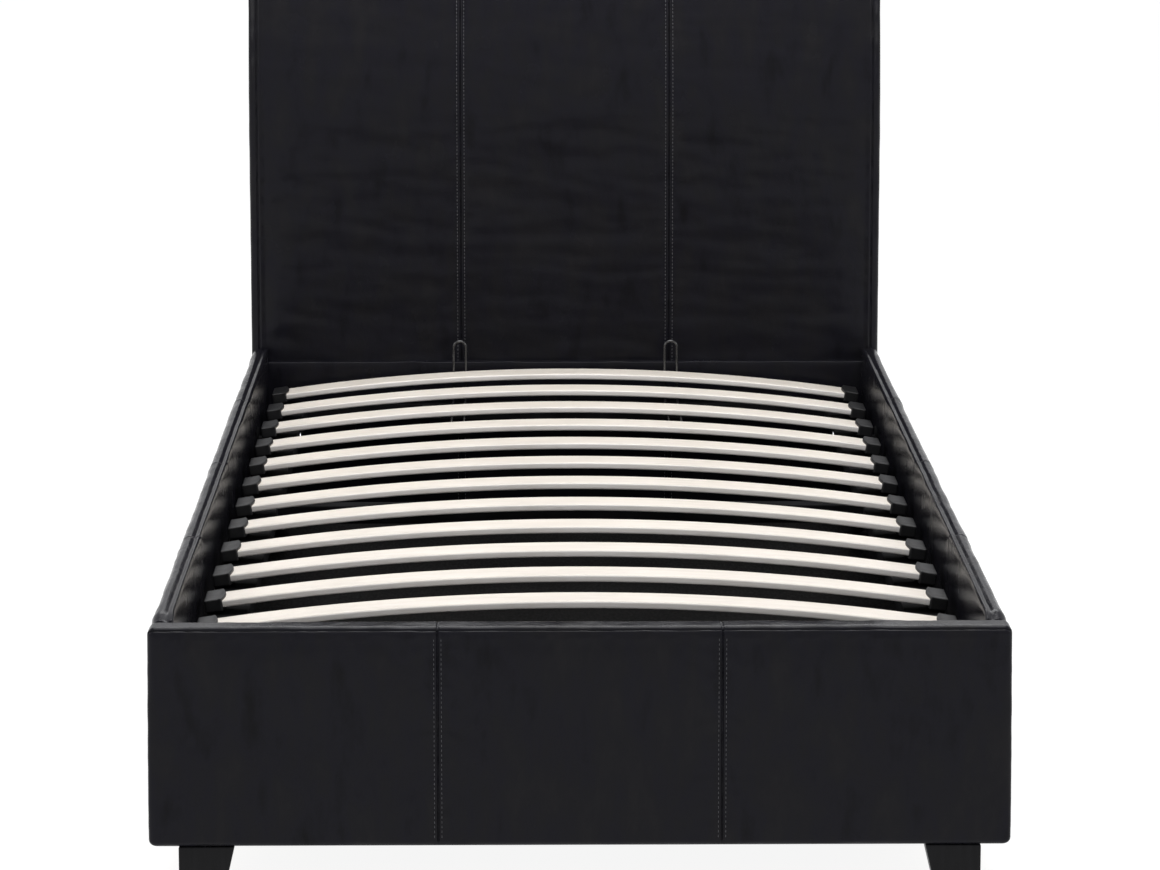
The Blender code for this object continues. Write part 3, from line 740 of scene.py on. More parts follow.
def join_pieces(name, pieces):
    """One object from several, for small parts that are always fixed together."""
    work = bmesh.new()
    for piece in pieces:
        part = piece.data.copy()
        part.transform(piece.matrix_world)
        work.from_mesh(part)
        bpy.data.meshes.remove(part)
    mesh = bpy.data.meshes.new(name)
    work.to_mesh(mesh)
    work.free()
    mesh.materials.append(pieces[0].data.materials[0])
    for piece in pieces:
        bpy.data.objects.remove(piece, do_unlink=True)
    mesh.set_sharp_from_angle(angle=math.radians(40))
    return link_piece(name, mesh)


# ---- covers settled by cloth simulation ---------------------------------------------
COVER_STEP = 0.0065
SETTLE_FRAMES = 20
BLUR_PASSES = 60
FOLD_LIMIT = 0.0016


def settled_cover(width, height, seams, growth, seed):
    """Relief of a cover that settles on its foam, cut a little long beside its sewn lines.

    The cover lies flat, from 0 to its width and height, held at its border and at the seams
    that run up it. Gives its height at any places.
    """
    us = np.linspace(0, width, round(width / COVER_STEP) + 1)
    vs = np.linspace(0, height, round(height / COVER_STEP) + 1)
    u, v = (grid.ravel() for grid in np.meshgrid(us, vs, indexing="ij"))
    sewn = np.minimum.reduce([np.abs(u - seam) for seam in seams])
    border = np.minimum.reduce([u, v, width - u, height - v])
    start = 0.0005 * ripple(u, v, 0.035, seed)
    points = np.stack([u, v, start], axis=1)
    index = np.arange(len(u)).reshape(len(us), len(vs))
    corners = (index[:-1, :-1], index[1:, :-1], index[1:, 1:], index[:-1, 1:])
    faces = np.stack([corner.ravel() for corner in corners], axis=1)
    mesh = bpy.data.meshes.new("cover_on_foam")
    mesh.from_pydata(points.tolist(), [], faces.tolist())
    cover = link_piece("cover_on_foam", mesh)
    held = cover.vertex_groups.new(name="held")
    fixed = np.minimum(sewn, border) < COVER_STEP * 0.51
    held.add(np.nonzero(fixed)[0].tolist(), 1.0, "ADD")
    slack = cover.vertex_groups.new(name="slack")
    near = np.maximum(bell(sewn, 0.035), 0.6 * bell(border, 0.03))
    for level in np.arange(0.05, 1.0, 0.1):
        chosen = np.nonzero(np.abs(near - level) <= 0.05)[0].tolist()
        if chosen:
            slack.add(chosen, float(level), "ADD")
    cloth = cover.modifiers.new("settle", "CLOTH")
    settings = cloth.settings
    settings.quality = 6
    settings.mass = 0.4
    settings.tension_stiffness = settings.compression_stiffness = 18
    settings.shear_stiffness = 8
    settings.bending_stiffness = 0.6
    settings.use_pressure = True
    settings.uniform_pressure_force = 1.5
    settings.effector_weights.gravity = 0
    settings.vertex_group_mass = "held"
    settings.vertex_group_shrink = "slack"
    settings.shrink_min = -0.002
    settings.shrink_max = -growth
    cloth.collision_settings.use_collision = False
    scene = bpy.context.scene
    for frame_number in range(1, SETTLE_FRAMES + 1):
        scene.frame_set(frame_number)
        bpy.context.view_layer.update()
    shaped = cover.evaluated_get(bpy.context.evaluated_depsgraph_get())
    places = np.zeros(len(u) * 3, np.float32)
    shaped.data.vertices.foreach_get("co", places)
    relief = places.reshape(-1, 3)[:, 2].reshape(len(us), len(vs)).astype(float)
    bpy.data.objects.remove(cover, do_unlink=True)
    scene.frame_set(1)
    broad = relief.copy()
    for _ in range(BLUR_PASSES):
        padded = np.pad(broad, 1, mode="edge")
        broad = padded[:-2, 1:-1] + padded[2:, 1:-1] + padded[1:-1, :-2] + padded[1:-1, 2:]
        broad /= 4
    folds = FOLD_LIMIT * np.tanh((relief - broad) / FOLD_LIMIT)

    def height_at(u, v):
        i = np.clip(np.interp(u, us, np.arange(len(us))), 0, len(us) - 1.001)
        j = np.clip(np.interp(v, vs, np.arange(len(vs))), 0, len(vs) - 1.001)
        low_i, low_j = i.astype(int), j.astype(int)
        i, j = i - low_i, j - low_j
        near_edge = folds[low_i, low_j] * (1 - j) + folds[low_i, low_j + 1] * j
        far_edge = folds[low_i + 1, low_j] * (1 - j) + folds[low_i + 1, low_j + 1] * j
        return near_edge * (1 - i) + far_edge * i

    return height_at


# ---- headboard ----------------------------------------------------------------------
def sleigh_lengths():
    """Lengths of the headboard's middle line: plumb part, sweep and roll."""
    low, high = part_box("headboard")
    rise = SWEEP_RADIUS * math.sin(SWEEP_ANGLE)
    rise += ROLL_RADIUS * (math.sin(SWEEP_ANGLE + ROLL_ANGLE) - math.sin(SWEEP_ANGLE))
    plumb = high.z - BOARD_THICKNESS / 2 - rise - low.z
    return plumb, SWEEP_RADIUS * SWEEP_ANGLE, ROLL_RADIUS * ROLL_ANGLE


def bend_to_sleigh(flat):
    """Carries flat points (across, depth, length along the middle line) to the curve."""
    low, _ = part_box("headboard")
    plumb, swept, rolled = sleigh_lengths()
    depth, length = flat[:, 1], flat[:, 2]
    sweep = np.clip((length - plumb) / SWEEP_RADIUS, 0, SWEEP_ANGLE)
    roll = np.clip((length - plumb - swept) / ROLL_RADIUS, 0, ROLL_ANGLE)
    beyond = np.maximum(length - plumb - swept - rolled, 0)
    turn = sweep + roll
    bottom_roll = math.cos(SWEEP_ANGLE), math.sin(SWEEP_ANGLE)
    y = low.y + BOARD_THICKNESS / 2 + SWEEP_RADIUS * (1 - np.cos(sweep))
    y += ROLL_RADIUS * (bottom_roll[0] - np.cos(SWEEP_ANGLE + roll))
    z = low.z + np.minimum(length, plumb) + SWEEP_RADIUS * np.sin(sweep)
    z += ROLL_RADIUS * (np.sin(SWEEP_ANGLE + roll) - bottom_roll[1])
    y += depth * np.cos(turn) + beyond * np.sin(turn)
    z += beyond * np.cos(turn) - depth * np.sin(turn)
    return np.stack([flat[:, 0], y, z], axis=1)


HEADBOARD_STITCH_ROW = 0.0055
HEADBOARD_EDGE = 0.010
BORDER_WIDTH = 0.0125
BORDER_RIDGE = 0.0042  # from the border's seam to the ridge beside it


def headboard_front(x, length, settings, relief):
    """How far the headboard's front cover stands off its flat line."""
    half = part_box("headboard")[1].x
    from_ridge = np.abs(x) - half + BORDER_WIDTH + BORDER_RIDGE
    seams = (-half, -settings.seam_offset, settings.seam_offset, half)
    height = pillow_rise(x, seams, settings.pillow)
    height += upright_seams(x, length, settings, HEADBOARD_STITCH_ROW, 0.030, 31)
    for index, edge in enumerate((-half + BORDER_WIDTH, half - BORDER_WIDTH)):
        distance = x - edge
        height += seam_dip(distance, settings.seam_depth * 0.7)
        height += 0.0012 * bell(from_ridge, 0.0028)
        height += 0.0006 * gathers(np.abs(distance), length, 0.022, 41 + index)
    height += relief(x + half, length)
    height += 0.0011 * ripple(x, length * 0.8, 0.17, 51)
    height += 0.00035 * ripple(x, length * 0.5, 0.055, 52)
    return height


def make_headboard(settings):
    """The rolled sleigh headboard: three sewn panels, bordered edges and a cloth back."""
    low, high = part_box("headboard")
    length = sum(sleigh_lengths()) + BOARD_THICKNESS / 2
    half, deep = high.x, BOARD_THICKNESS / 2
    seam = settings.seam_offset
    borders = (-half + BORDER_WIDTH, half - BORDER_WIDTH)
    xs = grid_line(-half, half, 0.0075, 0.012, (-seam, seam, *borders), 0.016)
    ys = grid_line(-deep, deep, 0.006, 0.012)
    zs = grid_line(0.0, length, 0.0060, 0.012)
    points, faces = block_grid((xs, ys, zs))
    lip = np.clip((points[:, 2] - (length - 0.080)) / 0.055, 0, 1)
    lip = lip * lip * (3 - 2 * lip)
    rounder = (deep - HEADBOARD_EDGE) * lip
    radius = [np.full_like(lip, HEADBOARD_EDGE), HEADBOARD_EDGE + rounder - 1e-4 * lip]
    radius = np.stack([*radius, HEADBOARD_EDGE + rounder], axis=1)
    points, normals = round_off(points, (-half, -deep, 0), (half, deep, length), radius)
    x, y, z = points.T
    fade = np.clip((length - z) / 0.05, 0, 1)
    seams = [place + half for place in (borders[0], -seam, seam, borders[1])]
    relief = settled_cover(2 * half, length, seams, 0.030, 11)
    swell = facing(normals, 1, -1) * headboard_front(x, z, settings, relief)
    swell += facing(normals, 1, 1) * fade * 0.0008 * ripple(x, z, 0.2, 61)
    swell += normals[:, 0] ** 2 * 0.00028 * gathers(np.abs(y) + 0.002, z, 0.03, 62, 0.06)
    points = bend_to_sleigh(points + normals * swell[:, None])
    settle_cover("headboard", points, faces, 0.85)
    lengths = np.arange(0.012, length - deep, settings.stitch_pitch)

    def surface(x, lengths):
        return -deep - headboard_front(x, lengths, settings, relief)

    row, name = HEADBOARD_STITCH_ROW, "headboard_stitching"
    carry = bend_to_sleigh
    stitches = seam_stitches(name, settings, lengths, row, surface, carry, 0.72, 0.00050)
    settle(stitches, "base", "faux_leather")
    settle(make_back_cloth(), "base", "well_floor")


def make_back_cloth():
    """The dust cloth stapled over the headboard's back, below the roll."""
    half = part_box("headboard")[1].x - 0.022
    plumb, swept, _ = sleigh_lengths()
    top = plumb + swept * 0.9
    xs = grid_line(-half, half, 0.02, 0.004)
    zs = grid_line(0.018, top, 0.02, 0.004)
    ys = np.array([0.0, 0.0004, 0.0008])
    points, faces = block_grid((xs, ys, zs))
    sag = 0.0012 * ripple(points[:, 0], points[:, 2], 0.09, 66)
    points[:, 1] += BOARD_THICKNESS / 2 + 0.0010 + np.abs(sag)
    return mesh_piece("headboard_back_cloth", bend_to_sleigh(points), faces, dust_cloth(), 40)


# ---- footboard ----------------------------------------------------------------------
FOOTBOARD_STITCH_ROW = 0.0042
FOOTBOARD_EDGE = 0.008


def footboard_front(x, z, settings, relief):
    """How far the footboard's outer cover stands off its flat face."""
    low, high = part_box("footboard")
    seams = (low.x, -settings.seam_offset, settings.seam_offset, high.x)
    height = pillow_rise(x, seams, settings.pillow * 0.8)
    height *= np.clip(1 - ((2 * (z - low.z) / (high.z - low.z) - 1) ** 10), 0, 1)
    height += upright_seams(x, z, settings, FOOTBOARD_STITCH_ROW, 0.028, 71)
    height += relief(x - low.x, z - low.z)
    under_top = high.z - z
    height += 0.0011 * gathers(np.abs(under_top - 0.007), x, 0.013, 73, 0.026)
    height += 0.0009 * bell(under_top - 0.0085, 0.005)
    height += 0.0005 * gathers(np.abs(under_top - 0.006), x, 0.007, 74, 0.009)
    height += 0.0008 * ripple(x, z, 0.13, 75) + 0.00030 * ripple(x, z * 0.7, 0.045, 76)
    return height


def make_footboard(settings):
    """The low footboard: three sewn panels under a boxing strip."""
    low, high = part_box("footboard")
    seam = settings.seam_offset
    xs = grid_line(low.x, high.x, 0.0035, FOOTBOARD_EDGE, (-seam, seam), 0.016)
    ys = grid_line(low.y, high.y, 0.004, FOOTBOARD_EDGE, (low.y + 0.0022,), 0.004)
    zs = grid_line(low.z, high.z, 0.0045, FOOTBOARD_EDGE)
    points, faces = block_grid((xs, ys, zs))
    points, normals = round_off(points, low, high, FOOTBOARD_EDGE)
    x, y, z = points.T
    seams = (high.x - seam, high.x + seam)
    relief = settled_cover(high.x - low.x, high.z - low.z, seams, 0.035, 12)
    swell = facing(normals, 1, -1) * footboard_front(x, z, settings, relief)
    strip = pillow_rise(y, (low.y, high.y), 0.0012)
    strip += 0.0004 * ripple(x, y, 0.08, 77) + 0.00009 * ripple(x, y, 0.02, 78)
    for place in (-seam, seam):
        strip += seam_dip(x - place, settings.seam_depth * 0.6)
    swell += facing(normals, 2, 1) * strip
    swell += facing(normals, 1, 1) * 0.0010 * ripple(x, z, 0.15, 79)
    sides = normals[:, 0] ** 2
    swell += sides * (0.0008 + 0.0022 * np.clip((high.z - z) / 0.2, 0, 1))
    swell += sides * 0.00018 * gathers(np.abs(y - low.y - 0.006) + 0.001, z, 0.02, 80, 0.03)
    corner = np.clip(1 - np.abs(np.abs(normals[:, 1]) - np.abs(normals[:, 2])) / 0.5, 0, 1)
    swell -= 0.0014 * corner**4 * (normals[:, 2] > 0.2) * (normals[:, 1] < -0.2)
    points = points + normals * swell[:, None]
    settle_cover("footboard", points, faces, 0.85)
    heights = np.arange(low.z + 0.012, high.z - 0.012, settings.stitch_pitch)

    def surface(x, heights):
        return low.y - footboard_front(x, heights, settings, relief)

    row, name = FOOTBOARD_STITCH_ROW, "footboard_stitching"
    carry = np.array
    stitches = seam_stitches(name, settings, heights, row, surface, carry, 0.66, 0.00034)
    settle(stitches, "base", "faux_leather")


# ---- side rails ---------------------------------------------------------------------
RAIL_SEAM_SPACING = 0.505
RAIL_FIRST_SEAM = 0.496
RAIL_LEDGE_WIDTH = 0.040
RAIL_LEDGE_HEIGHT = 0.0057
RAIL_CROWN = 0.012  # radius of the outer roll
RAIL_EDGE = 0.0035
RAIL_CREST = 0.0025  # both measured from the rail's inner face
RAIL_VALLEY = 0.0075
RAIL_END_DROP = 0.0060


def rail_top(across, y, seams, seed):
    """The rail's rolled top: a full outer roll, a valley, and a sewn crest inside."""
    height = -0.0021 * bell(across - RAIL_VALLEY, 0.0030)
    height += 0.0009 * bell(across - RAIL_CREST, 0.0016)
    height += 0.0004 * gathers(np.abs(across - RAIL_VALLEY), y, 0.005, seed, 0.026)
    height += 0.0005 * ripple(y, across, 0.12, seed + 1)
    for place in seams:
        height += seam_dip(y - place, 0.0018)
    return height


def make_side_rail(hand, side, settings):
    """One padded side rail with its batten for the floor."""
    node = f"side_rail_{hand}"
    low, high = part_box(node)
    outer = high.x if side > 0 else -low.x
    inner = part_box("head_rail")[1].x + 0.0003
    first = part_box("footboard")[0].y + RAIL_FIRST_SEAM
    seams = [first + RAIL_SEAM_SPACING * step for step in range(3)]
    flat_top = np.linspace(inner + 0.0042, outer - RAIL_CROWN, 12)
    rounded = [inner + RAIL_EDGE * EASE, outer - RAIL_CROWN * EASE]
    xs = np.unique(np.concatenate([flat_top, *rounded]))
    ys = grid_line(low.y, high.y, 0.0080, 0.006, seams, 0.014)
    zs = grid_line(low.z, high.z, 0.0080, 0.012)
    points, faces = block_grid((xs, ys, zs))
    crown = np.clip((points[:, 2] - high.z + 0.05) / 0.03, 0, 1)
    outer_half = points[:, 0] > (inner + outer) / 2
    turned = np.where(outer_half, RAIL_CROWN - RAIL_EDGE, 0.0) * crown + RAIL_EDGE
    radius = np.stack([turned, np.full_like(turned, 0.002), turned], axis=1)
    bounds = (inner, low.y, low.z), (outer, high.y, high.z)
    points, normals = round_off(points, *bounds, radius)
    x, y, z = points.T
    seed = 100 if side > 0 else 140
    swell = facing(normals, 2, 1, 1.5) * rail_top(x - inner, y, seams, seed)
    under = high.z - z
    inside = pillow_rise(z, (low.z, high.z), 0.0016) + 0.0004 * ripple(y, z, 0.16, seed + 3)
    inside += 0.00015 * gathers(np.abs(under - 0.050), y, 0.030, seed + 4, 0.050)
    outside = -0.0012 + pillow_rise(z, (low.z, high.z), 0.0012)
    outside += 0.0006 * ripple(y, z, 0.16, seed + 5)
    places = [place - low.y for place in seams]
    relief = settled_cover(high.y - low.y, high.z - low.z, places, 0.030, seed + 8)
    inside += 0.28 * relief(y - low.y, z - low.z)
    outside += relief(high.y - y, z - low.z)
    for place in seams:
        inside += seam_dip(y - place, settings.seam_depth * 0.7)
        inside += 0.0006 * gathers(np.abs(y - place), z, 0.03, seed + 6)
        outside += seam_dip(y - place, settings.seam_depth, FOOTBOARD_STITCH_ROW)
        outside += 0.0005 * gathers(np.abs(y - place), z, 0.03, seed + 7)
    swell += facing(normals, 0, -1) * inside + facing(normals, 0, 1) * outside
    points = points + normals * swell[:, None]
    points[:, 2] -= RAIL_END_DROP * crown * bell(points[:, 1] - low.y, 0.014)
    settle_cover(node, *mirrored(points, faces, side), 0.8)
    batten = make_batten(f"{node}_batten", side, inner, low, high)
    settle(batten, "base", "well_floor")


def make_batten(name, side, inner, low, high):
    """The batten inside a rail's foot, which the floor lies on."""
    low = (inner - RAIL_LEDGE_WIDTH, low.y, low.z)
    high = (inner, high.y, low[2] + RAIL_LEDGE_HEIGHT)
    points, _, faces = rounded_block(low, high, (0.008, 0.10, 0.002), 0.001, 0.0008)
    return mesh_piece(name, *mirrored(points, faces, side), sawn_pine(), 50)


def make_head_rail():
    """The covered cross rail in front of the headboard."""
    low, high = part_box("head_rail")
    points, normals, faces = rounded_block(low, high, (0.010, 0.004, 0.008), 0.0016, 0.0016)
    x, y, z = points.T
    swell = pillow_rise(z, (low.z, high.z), 0.0010) + 0.0006 * ripple(x, z, 0.12, 91)
    swell *= facing(normals, 1, -1)
    swell += facing(normals, 2, 1) * 0.0004 * ripple(x, y, 0.05, 92)
    settle_cover("head_rail", points + normals * swell[:, None], faces, 0.9)


# ---- feet and floor -----------------------------------------------------------------
def make_feet():
    """Four tapered block feet with eased edges."""
    for end in ("front", "rear"):
        for hand, _ in SIDES:
            node = f"foot_{end}_{hand}"
            foot = refined_copy(f"{node}_block", node, black_lacquer(), 0.0022, 3)
            settle(foot, "base", "foot_paint", node)


def make_storage_floor():
    """The floor panel of the storage well, with the strip over its joint."""
    low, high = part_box("storage_floor")
    panel = refined_copy("storage_floor_panel", "storage_floor", faced_board(), 0.0006, 1)
    settle(panel, "base", "well_floor", "storage_floor")
    middle = (low.y + high.y) / 2
    half = (high.x - low.x) / 2 - 0.006
    bounds = (-half, middle - 0.014, high.z), (half, middle + 0.014, high.z + 0.0022)
    edges = (0.002, 0.002, 0.0005)
    points, _, faces = rounded_block(*bounds, (0.02, 0.004, 0.001), edges, 0.0009)
    strip = mesh_piece("storage_floor_strip", points, faces, plastic(), 40)
    settle(strip, "base", "black_plastic")


# ---- slats and caps -----------------------------------------------------------------
def make_slats(settings):
    """Twelve bowed slats of laminated birch that share one mesh."""
    low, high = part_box("slat_01")
    bow = high.z - low.z - settings.thickness
    half, deep = high.x, (high.y - low.y) / 2
    thick = settings.thickness / 2
    edge = settings.edge_radius
    xs = np.linspace(-half, half, 65)
    ys = grid_line(-deep, deep, 0.009, edge)
    zs = grid_line(-thick, thick, 0.002, edge)
    points, faces = block_grid((xs, ys, zs))
    layer = (points[:, 2] + thick) / settings.thickness
    radius = (0.001, edge, edge)
    points, _ = round_off(points, (-half, -deep, -thick), (half, deep, thick), radius)
    x, y, z = points.T.copy()
    turn = np.arctan(-2 * bow * x / half**2)
    points[:, 0] = x - z * np.sin(turn)
    points[:, 2] = low.z + thick + bow * (1 - (x / half) ** 2) + z * np.cos(turn)
    mesh = None
    for node in SLAT_NODES:
        box_low, box_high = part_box(node)
        if mesh is None:
            slat = mesh_piece(f"{node}_ply", points, faces, birch(settings))
            mesh = slat.data
            veneer = mesh.uv_layers.new(name="veneer")
            corners = np.zeros(len(mesh.loops), np.int32)
            mesh.loops.foreach_get("vertex_index", corners)
            places = np.stack([x[corners], layer[corners]], axis=1)
            veneer.data.foreach_set("uv", places.astype(np.float32).ravel())
        else:
            slat = link_piece(f"{node}_ply", mesh)
        slat.location.y = (box_low.y + box_high.y) / 2
        settle(slat, "deck", "birch_ply", node)


CAP_LENGTH = 0.021
CAP_WALL = 0.0032
CAP_NOSE = 0.004
CAP_EDGE = 0.0016
CAP_FROM_RAIL = 0.038
CAP_RIBS = (-0.012, 0.0, 0.012)
RIB_HALF_WIDTH = 0.0035


def make_cap_mesh(settings):
    """One right-hand end cap about y = 0: a tilted socket on a ribbed seat."""
    slat_low, slat_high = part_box("slat_01")
    bow = slat_high.z - slat_low.z - settings.thickness
    half_slat = slat_high.x
    deep = (slat_high.y - slat_low.y) / 2 + CAP_WALL
    thick = settings.thickness / 2 + CAP_WALL
    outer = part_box("side_rail_right")[1].x - CAP_FROM_RAIL
    reach = CAP_LENGTH / 2
    middle_x = outer - reach
    middle_z = slat_low.z + settings.thickness / 2 + bow * (1 - (middle_x / half_slat) ** 2)
    tilt = math.atan(2 * bow * middle_x / half_slat**2)
    bounds = (-reach, -deep, -thick), (reach, deep, thick)
    points, _, faces = rounded_block(*bounds, (0.0025, 0.005, 0.002), CAP_EDGE, CAP_EDGE)
    nose = CAP_NOSE * (1 - (points[:, 1] / deep) ** 2)
    points[:, 0] -= nose * np.clip((reach * 0.2 - points[:, 0]) / (reach * 1.2), 0, 1)
    lip = bell(points[:, 0] + reach + nose - 0.0012, 0.0011)
    points[:, 2] += 0.0005 * lip * np.sign(points[:, 2])
    at_side = np.abs(points[:, 1]) > deep * 0.9
    points[:, 1] += 0.0004 * lip * np.sign(points[:, 1]) * at_side
    turn = Matrix.Rotation(tilt, 3, "Y")
    points = points @ np.array(turn).T + np.array((middle_x, 0, middle_z))
    all_points, all_faces = [points], [faces]
    count = len(points)
    foot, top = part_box("deck_side_tube_right")[1].z + 0.0003, middle_z - thick * 0.4
    for rib in CAP_RIBS:
        low = (outer - CAP_LENGTH + 0.004, rib - RIB_HALF_WIDTH, foot)
        high = (outer - 0.0025, rib + RIB_HALF_WIDTH, top)
        points, _, faces = rounded_block(low, high, (0.004, 0.002, 0.003), 0.0008, 0.0007)
        all_points.append(points)
        all_faces.append(faces + count)
        count += len(points)
    return np.concatenate(all_points), np.concatenate(all_faces)


def make_slat_caps(settings):
    """Twenty-four moulded end caps; the left ones mirror the right ones."""
    points, faces = make_cap_mesh(settings)
    meshes = {}
    for node in SLAT_NODES:
        place = (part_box(node)[0].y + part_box(node)[1].y) / 2
        for hand, side in SIDES:
            cap_node = node.replace("slat_", "slat_cap_") + f"_{hand}"
            name = f"{cap_node}_moulding"
            if hand in meshes:
                cap = link_piece(name, meshes[hand])
            else:
                cap = mesh_piece(name, *mirrored(points, faces, side), plastic(), 42)
                meshes[hand] = cap.data
            cap.location.y = place
            settle(cap, "deck", "black_plastic", cap_node)


# ---- steel deck ---------------------------------------------------------------------
def make_deck_tubes():
    """The welded steel deck: side tubes, cross tubes, weld beads and end plugs."""
    tubes = ["deck_head_tube", "deck_middle_tube", "deck_foot_tube"]
    tubes += [f"deck_side_tube_{hand}" for hand, _ in SIDES]
    for node in tubes:
        tube = refined_copy(f"{node}_steel", node, powder_steel())
        settle(tube, "deck", "black_steel", node)
    for node in tubes[:3]:
        low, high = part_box(node)
        for hand, side in SIDES:
            x = side * (high.x + 0.0002)
            corners = ((low.y, low.z), (high.y, low.z), (high.y, high.z), (low.y, high.z))
            path = wobbled_loop([(x, *corner) for corner in corners], 0.0018, 200 + len(node))
            bead = tube_piece(f"{node}_weld_{hand}", path, 0.0014, powder_steel(), True, 2)
            settle(bead, "deck", "black_steel")
    for hand, side in SIDES:
        low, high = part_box(f"deck_side_tube_{hand}")
        for end, y, toward in (("head", high.y, 1), ("foot", low.y, -1)):
            plug = make_end_plug(f"deck_plug_{end}_{hand}", low.x, high.x, y, toward, high.z)
            settle(plug, "deck", "black_plastic")


def wobbled_loop(corners, step, seed):
    """A closed path round the corners with a welder's small unevenness."""
    random = np.random.default_rng(seed)
    path = []
    for index, corner in enumerate(corners):
        start, end = Vector(corner), Vector(corners[(index + 1) % len(corners)])
        count = max(2, round((end - start).length / step))
        for piece in range(count):
            spot = start.lerp(end, piece / count)
            push = random.uniform(-0.00035, 0.00035)
            path.append((spot.x + push, spot.y + push, spot.z + push * 0.5))
    return path


def make_end_plug(name, low_x, high_x, y, toward, top):
    """The plastic insert that closes a tube's end."""
    tube_height, wall, proud = 0.025, 0.0006, 0.0016
    inner_y, outer_y = sorted((y - toward * 0.004, y + toward * proud))
    low = (low_x + wall, inner_y, top - tube_height + wall)
    high = (high_x - wall, outer_y, top - wall)
    points, _, faces = rounded_block(low, high, (0.004,) * 3, 0.0015, 0.0014)
    return mesh_piece(name, points, faces, plastic(), 45)


def make_retainers(settings):
    """Two bent wire loops at the head end that keep the mattress from sliding."""
    radius = settings.wire_radius
    bend = 0.008
    for hand, side in SIDES:
        node = f"mattress_retainer_{hand}"
        low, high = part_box(node)
        middle, half = (low.x + high.x) / 2, (high.x - low.x) / 2 - radius
        leg_z, y = low.z + radius, high.y - radius
        leg = [(-half, low.y, leg_z), (-half, y - bend, leg_z)]
        for step in range(1, 9):
            angle = math.pi / 2 * step / 8
            along, up = bend * math.sin(angle), bend * (1 - math.cos(angle))
            leg.append((-half, y - bend + along, leg_z + up))
        crown = []
        top = high.z - radius - half
        for step in range(17):
            angle = math.pi * (1 - step / 16)
            crown.append((half * math.cos(angle), y, top + half * math.sin(angle)))
        back = [(-x, py, pz) for x, py, pz in reversed(leg)]
        path = [(middle + x, py, pz) for x, py, pz in leg + crown + back]
        wire = tube_piece(f"{node}_wire", path, radius, wire_lacquer())
        settle(wire, "deck", "black_steel", node)


# ---- gas struts and hinge plates ----------------------------------------------------
COLLAR_HEIGHT = 0.006
COLLARS = (("gland", 0.0, 0.0101), ("groove", -0.016, 0.0096))  # name, place, radius
PLATE_THICKNESS = 0.003
PLATE_SCREWS = ((0.0, 0.062), (-0.009, 0.092), (0.009, 0.118))  # along the rail, and up
STOP_SCREWS = (-0.12, -0.04, 0.04, 0.12)


def make_gas_struts():
    """Both gas struts, with a crimped collar on each cylinder and a polished rod."""
    for hand, side in SIDES:
        tube_node, rod_node = f"gas_strut_tube_{hand}", f"gas_strut_rod_{hand}"
        tube = refined_copy(f"{tube_node}_cylinder", tube_node, powder_steel(), 0.0007, 2)
        settle(tube, f"strut_tube_{hand}", "black_steel", tube_node)
        rod = refined_copy(f"{rod_node}_shaft", rod_node, chrome())
        settle(rod, f"strut_rod_{hand}", "polished_rod", rod_node)
        foot, mouth = strut_line(side)
        along = (mouth - foot).normalized()
        for label, place, wide in COLLARS:
            start = mouth + along * (place - COLLAR_HEIGHT)
            profile = [(0.0078, 0.0), (wide, 0.0006), (wide, 0.0054), (0.0078, COLLAR_HEIGHT)]
            name = f"{tube_node}_{label}"
            collar = turned_piece(name, profile, start, along, powder_steel(), 32)
            settle(collar, f"strut_tube_{hand}", "black_steel")


def strut_line(side):
    """The lower pivot and the open mouth of a strut's cylinder at rest."""
    hand = "left" if side < 0 else "right"
    joints = {joint["name"]: joint for joint in frame["joints"]}
    foot = Vector(joints[f"strut_swing_{hand}"]["pos_m"])
    slide = Vector(joints[f"strut_slide_{hand}"]["axis"]).normalized()
    low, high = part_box(f"gas_strut_tube_{hand}")
    radius = (high.x - low.x) / 2
    reach = (foot.y - low.y - radius * abs(slide.z)) / abs(slide.y)
    return foot, foot + slide * reach


def make_hinge_plates():
    """The hinge plates with their screws, clips and pivot pins."""
    for hand, side in SIDES:
        node = f"hinge_plate_{hand}"
        plate = refined_copy(f"{node}_steel", node, powder_steel(), 0.0005, 1)
        settle(plate, "base", "black_steel", node)
        low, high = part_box(node)
        y = (low.y + high.y) / 2
        face = high.x - PLATE_THICKNESS if side > 0 else low.x + PLATE_THICKNESS
        spots = [(face, y + along, low.z + up) for along, up in PLATE_SCREWS]
        screws = [pan_screw(spot, (-side, 0, 0)) for spot in spots]
        settle(join_pieces(f"{node}_screws", screws), "base", "black_steel")
        tip = side * (abs(low.x if side > 0 else high.x) + 0.0005)
        pin_z = high.z - (high.y - low.y) / 2
        clip = [(0.0056, 0.0), (0.0098, 0.0002), (0.0098, 0.0012), (0.0056, 0.0014)]
        ring = turned_piece(f"{node}_clip", clip, (tip, y, pin_z), (side, 0, 0), zinc(), 32)
        settle(ring, "base", "black_steel")


def pan_screw(base, axis, size=0.0038):
    """A pan-head screw with a cross recess, on a surface."""
    profile = [(size, 0.0), (size * 1.02, 0.0008), (size * 0.85, 0.0018), (size * 0.4, 0.0024)]
    head = turned_piece("screw", profile, base, axis, zinc(), 20)
    turn = Vector(axis).to_track_quat("Z", "Y").to_matrix()
    middle = Vector(base) + turn @ Vector((0, 0, 0.0024))
    reach, radius = size * 0.45, size * 0.10
    bars = []
    for angle in (0, math.pi / 2):
        along = turn @ Vector((math.cos(angle), math.sin(angle), 0))
        start, end = middle - along * reach, middle + along * reach
        profile = [(radius, 0.0), (radius, (end - start).length)]
        axis = (end - start).normalized()
        bars.append(turned_piece("screw", profile, start, axis, zinc(), 4))
    return join_pieces("screw", [head, *bars])


